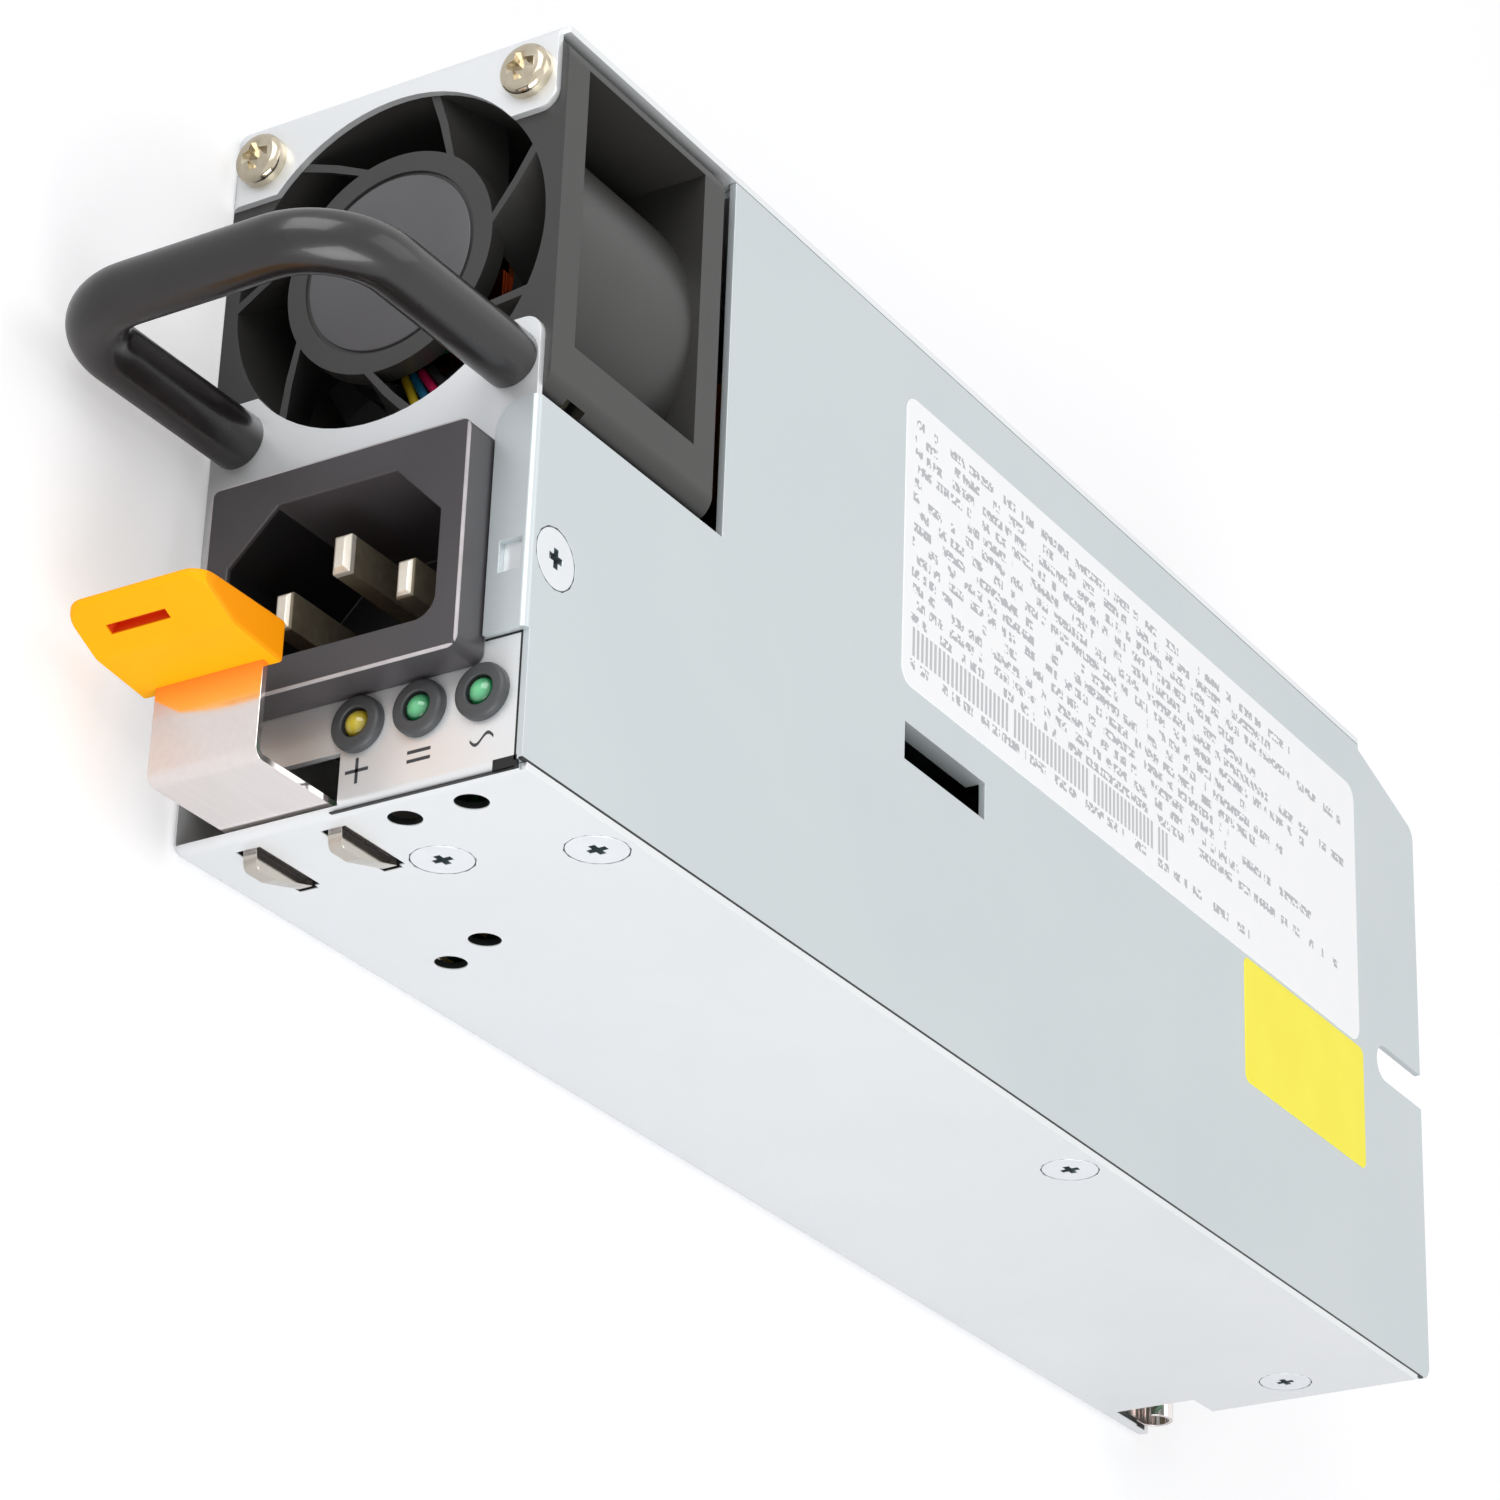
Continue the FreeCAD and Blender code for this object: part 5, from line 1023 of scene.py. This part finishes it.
def cover_seam_shadows():
    """Painted shadow strips in the gaps where the cover meets the tray's wall and face."""
    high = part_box("cover")[1]
    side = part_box("tray")[1].x - SHEET
    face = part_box("tray")[0].y
    bm = bmesh.new()
    block(bm, (side - SEAM, face, high.z - SHEET / 2),
          (side, high.y - SEAM_REAR, high.z + MARK_FILM))
    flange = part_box("inlet_housing")[1].z
    block(bm, (FLANGE_END, face - MARK_FILM, flange),
          (FLANGE_END + SEAM, face + SHEET / 2, high.z - SHEET))
    block(bm, (FLANGE_END, face - MARK_FILM, high.z - SHEET - SEAM / 2),
          (side, face + SHEET / 2, high.z - SHEET + SEAM / 2))
    fold = side + SHEET - FOLD_LINE
    block(bm, (fold - CORNER_GAP / 2, face - MARK_FILM, high.z - SHEET - CORNER_GAP),
          (fold, face + SHEET / 2, high.z - SHEET + SEAM))
    block(bm, (fold - SEAM / 2, face - MARK_FILM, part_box("latch_spring")[1].z),
          (fold, face + SHEET / 2, high.z - SHEET))
    add_piece(bm, "cover_seam_shadows", CHASSIS, "zinc_sheet", "seam_shadow")


def motor_sticker():
    """The bare grey disc in the middle of the fan."""
    low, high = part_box("fan_bearing")
    axis = Vector(((low.x + high.x) / 2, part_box("tray")[0].y + SHEET, (low.z + high.z) / 2))
    bm = bmesh.new()
    rim, fall = MOTOR_DISC_RIM
    spin_profile(bm, [(0, 0), (MOTOR_DISC - rim, 0), (MOTOR_DISC, -fall),
                      (MOTOR_DISC, -MOTOR_DISC_DEEP), (0, -MOTOR_DISC_DEEP)],
                 axis, (0, -1, 0), MOTOR_DISC_STEPS)
    add_piece(bm, "motor_sticker", CHASSIS, "black_plastic", "motor_disc")


def leads():
    """The motor's four leads, out of the duct and back beside the fan."""
    low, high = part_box("fan_bearing")
    axis_x = (low.x + high.x) / 2
    axis_z = (low.z + high.z) / 2
    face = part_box("tray")[0].y
    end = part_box("fan_leads")
    for index, (name, levels) in enumerate(LEADS):
        angle = math.radians(LEAD_ANGLE + index * LEAD_STEP)
        leave = angle - math.radians(LEAD_ASLANT)
        start = Vector((axis_x + LEAD_START * math.cos(leave), face + LEAD_DEPTH,
                        axis_z + LEAD_START * math.sin(leave)))
        height = axis_z + (LEAD_SIDE - axis_x) * math.tan(angle)
        turn = Vector((LEAD_SIDE, face + LEAD_DEPTH, height))
        short = (len(LEADS) - 1 - index) * LEAD_PITCH
        rear = Vector((LEAD_SIDE, end[1].y - LEAD_THICK / 2 - short, height))
        foot = Vector((LEAD_SIDE, rear.y, end[0].z))
        curve = bpy.data.curves.new("lead_" + name, "CURVE")
        curve.dimensions = "3D"
        curve.bevel_depth = LEAD_THICK / 2
        curve.bevel_resolution = 4
        curve.use_fill_caps = True
        spline = curve.splines.new("NURBS")
        # Points close to each corner keep the lead straight between its bends.
        route = [start, start.lerp(turn, 0.5), turn.lerp(start, 0.15), turn.lerp(rear, 0.08),
                 turn.lerp(rear, 0.5), rear.lerp(turn, 0.1), rear.lerp(foot, 0.2), foot]
        spline.points.add(len(route) - 1)
        for point, spot in zip(spline.points, route):
            point.co = (*spot, 1)
        spline.order_u = 3
        spline.use_endpoint_u = True
        piece = bpy.data.objects.new("lead_" + name, curve)
        bpy.context.scene.collection.objects.link(piece)
        colour = tint(*levels)
        shade = (*(c * 0.8 for c in colour[:3]), 1)
        curve.materials.append(moulded(name + "_lead", colour, shade, 0.4))
        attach(piece, CHASSIS)
        if index == 0:
            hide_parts("fan_leads")


handle_bail()
all_flush_screws()
fan_pan_screws()
lamps()
lamp_marks()
finger_tab()
flat_films()
cover_seam_shadows()
motor_sticker()
leads()


# Floor, light and camera


def floor():
    """A plain pale floor that reads as white and keeps the soft shadow."""
    material, nodes = finish("pale_floor")
    path = nodes.add("ShaderNodeLightPath")
    seen = nodes.add("ShaderNodeEmission", None,
                     {"Color": (1, 1, 1, 1), "Strength": path * FLOOR_LIFT})
    pale = nodes.add("ShaderNodeBsdfDiffuse", None, {"Color": tint(232, 232, 234)})
    both = nodes.add("ShaderNodeAddShader", None, {0: seen, 1: pale})
    nodes.add("ShaderNodeOutputMaterial", None, {"Surface": both})
    bm = bmesh.new()
    bmesh.ops.create_grid(bm, x_segments=1, y_segments=1, size=FLOOR_REACH)
    bmesh.ops.translate(bm, vec=(0, 0, CAD_LOW.z - FLOOR_BELOW), verts=bm.verts)
    mesh = bpy.data.meshes.new("floor")
    bm.to_mesh(mesh)
    bm.free()
    mesh.materials.append(material)
    plane = bpy.data.objects.new("floor", mesh)
    bpy.context.scene.collection.objects.link(plane)


def surroundings():
    """White all round for the camera and for reflections, and a plain level of light."""
    world = bpy.data.worlds.new("white_studio")
    world.use_nodes = True
    bpy.context.scene.world = world
    nodes = Nodes(world.node_tree)
    camera = nodes.add("ShaderNodeLightPath", output=0)
    glossy = nodes.add("ShaderNodeLightPath", output=3)
    through = nodes.add("ShaderNodeLightPath", output=6)
    direct = camera.larger(glossy).larger(through)
    strength = ROUND_LIGHT + (1 - ROUND_LIGHT) * direct
    back = nodes.add("ShaderNodeBackground", None, {"Color": (1, 1, 1, 1), "Strength": strength})
    nodes.add("ShaderNodeOutputWorld", None, {"Surface": back})


def soft_lamp(name, at, size, power):
    """A square soft box that points at the middle of the case."""
    light = bpy.data.lights.new(name, "AREA")
    light.shape = "SQUARE"
    light.size = size
    light.energy = power
    lamp = bpy.data.objects.new(name, light)
    aim = (Vector(AIM) - Vector(at)).to_track_quat("-Z", "Y")
    lamp.matrix_world = Matrix.Translation(at) @ aim.to_matrix().to_4x4()
    bpy.context.scene.collection.objects.link(lamp)


def camera():
    lens_data = bpy.data.cameras.new("camera")
    lens_data.lens = CAMERA_LENS
    lens_data.sensor_width = CAMERA_FILM
    view = bpy.data.objects.new("camera", lens_data)
    view.location = CAMERA_AT
    view.rotation_euler = [math.radians(a) for a in CAMERA_TURN]
    bpy.context.scene.collection.objects.link(view)
    bpy.context.scene.camera = view


floor()
surroundings()
for soft_box in SOFT_BOXES:
    soft_lamp(*soft_box)
camera()
bpy.context.scene.view_settings.view_transform = "Standard"
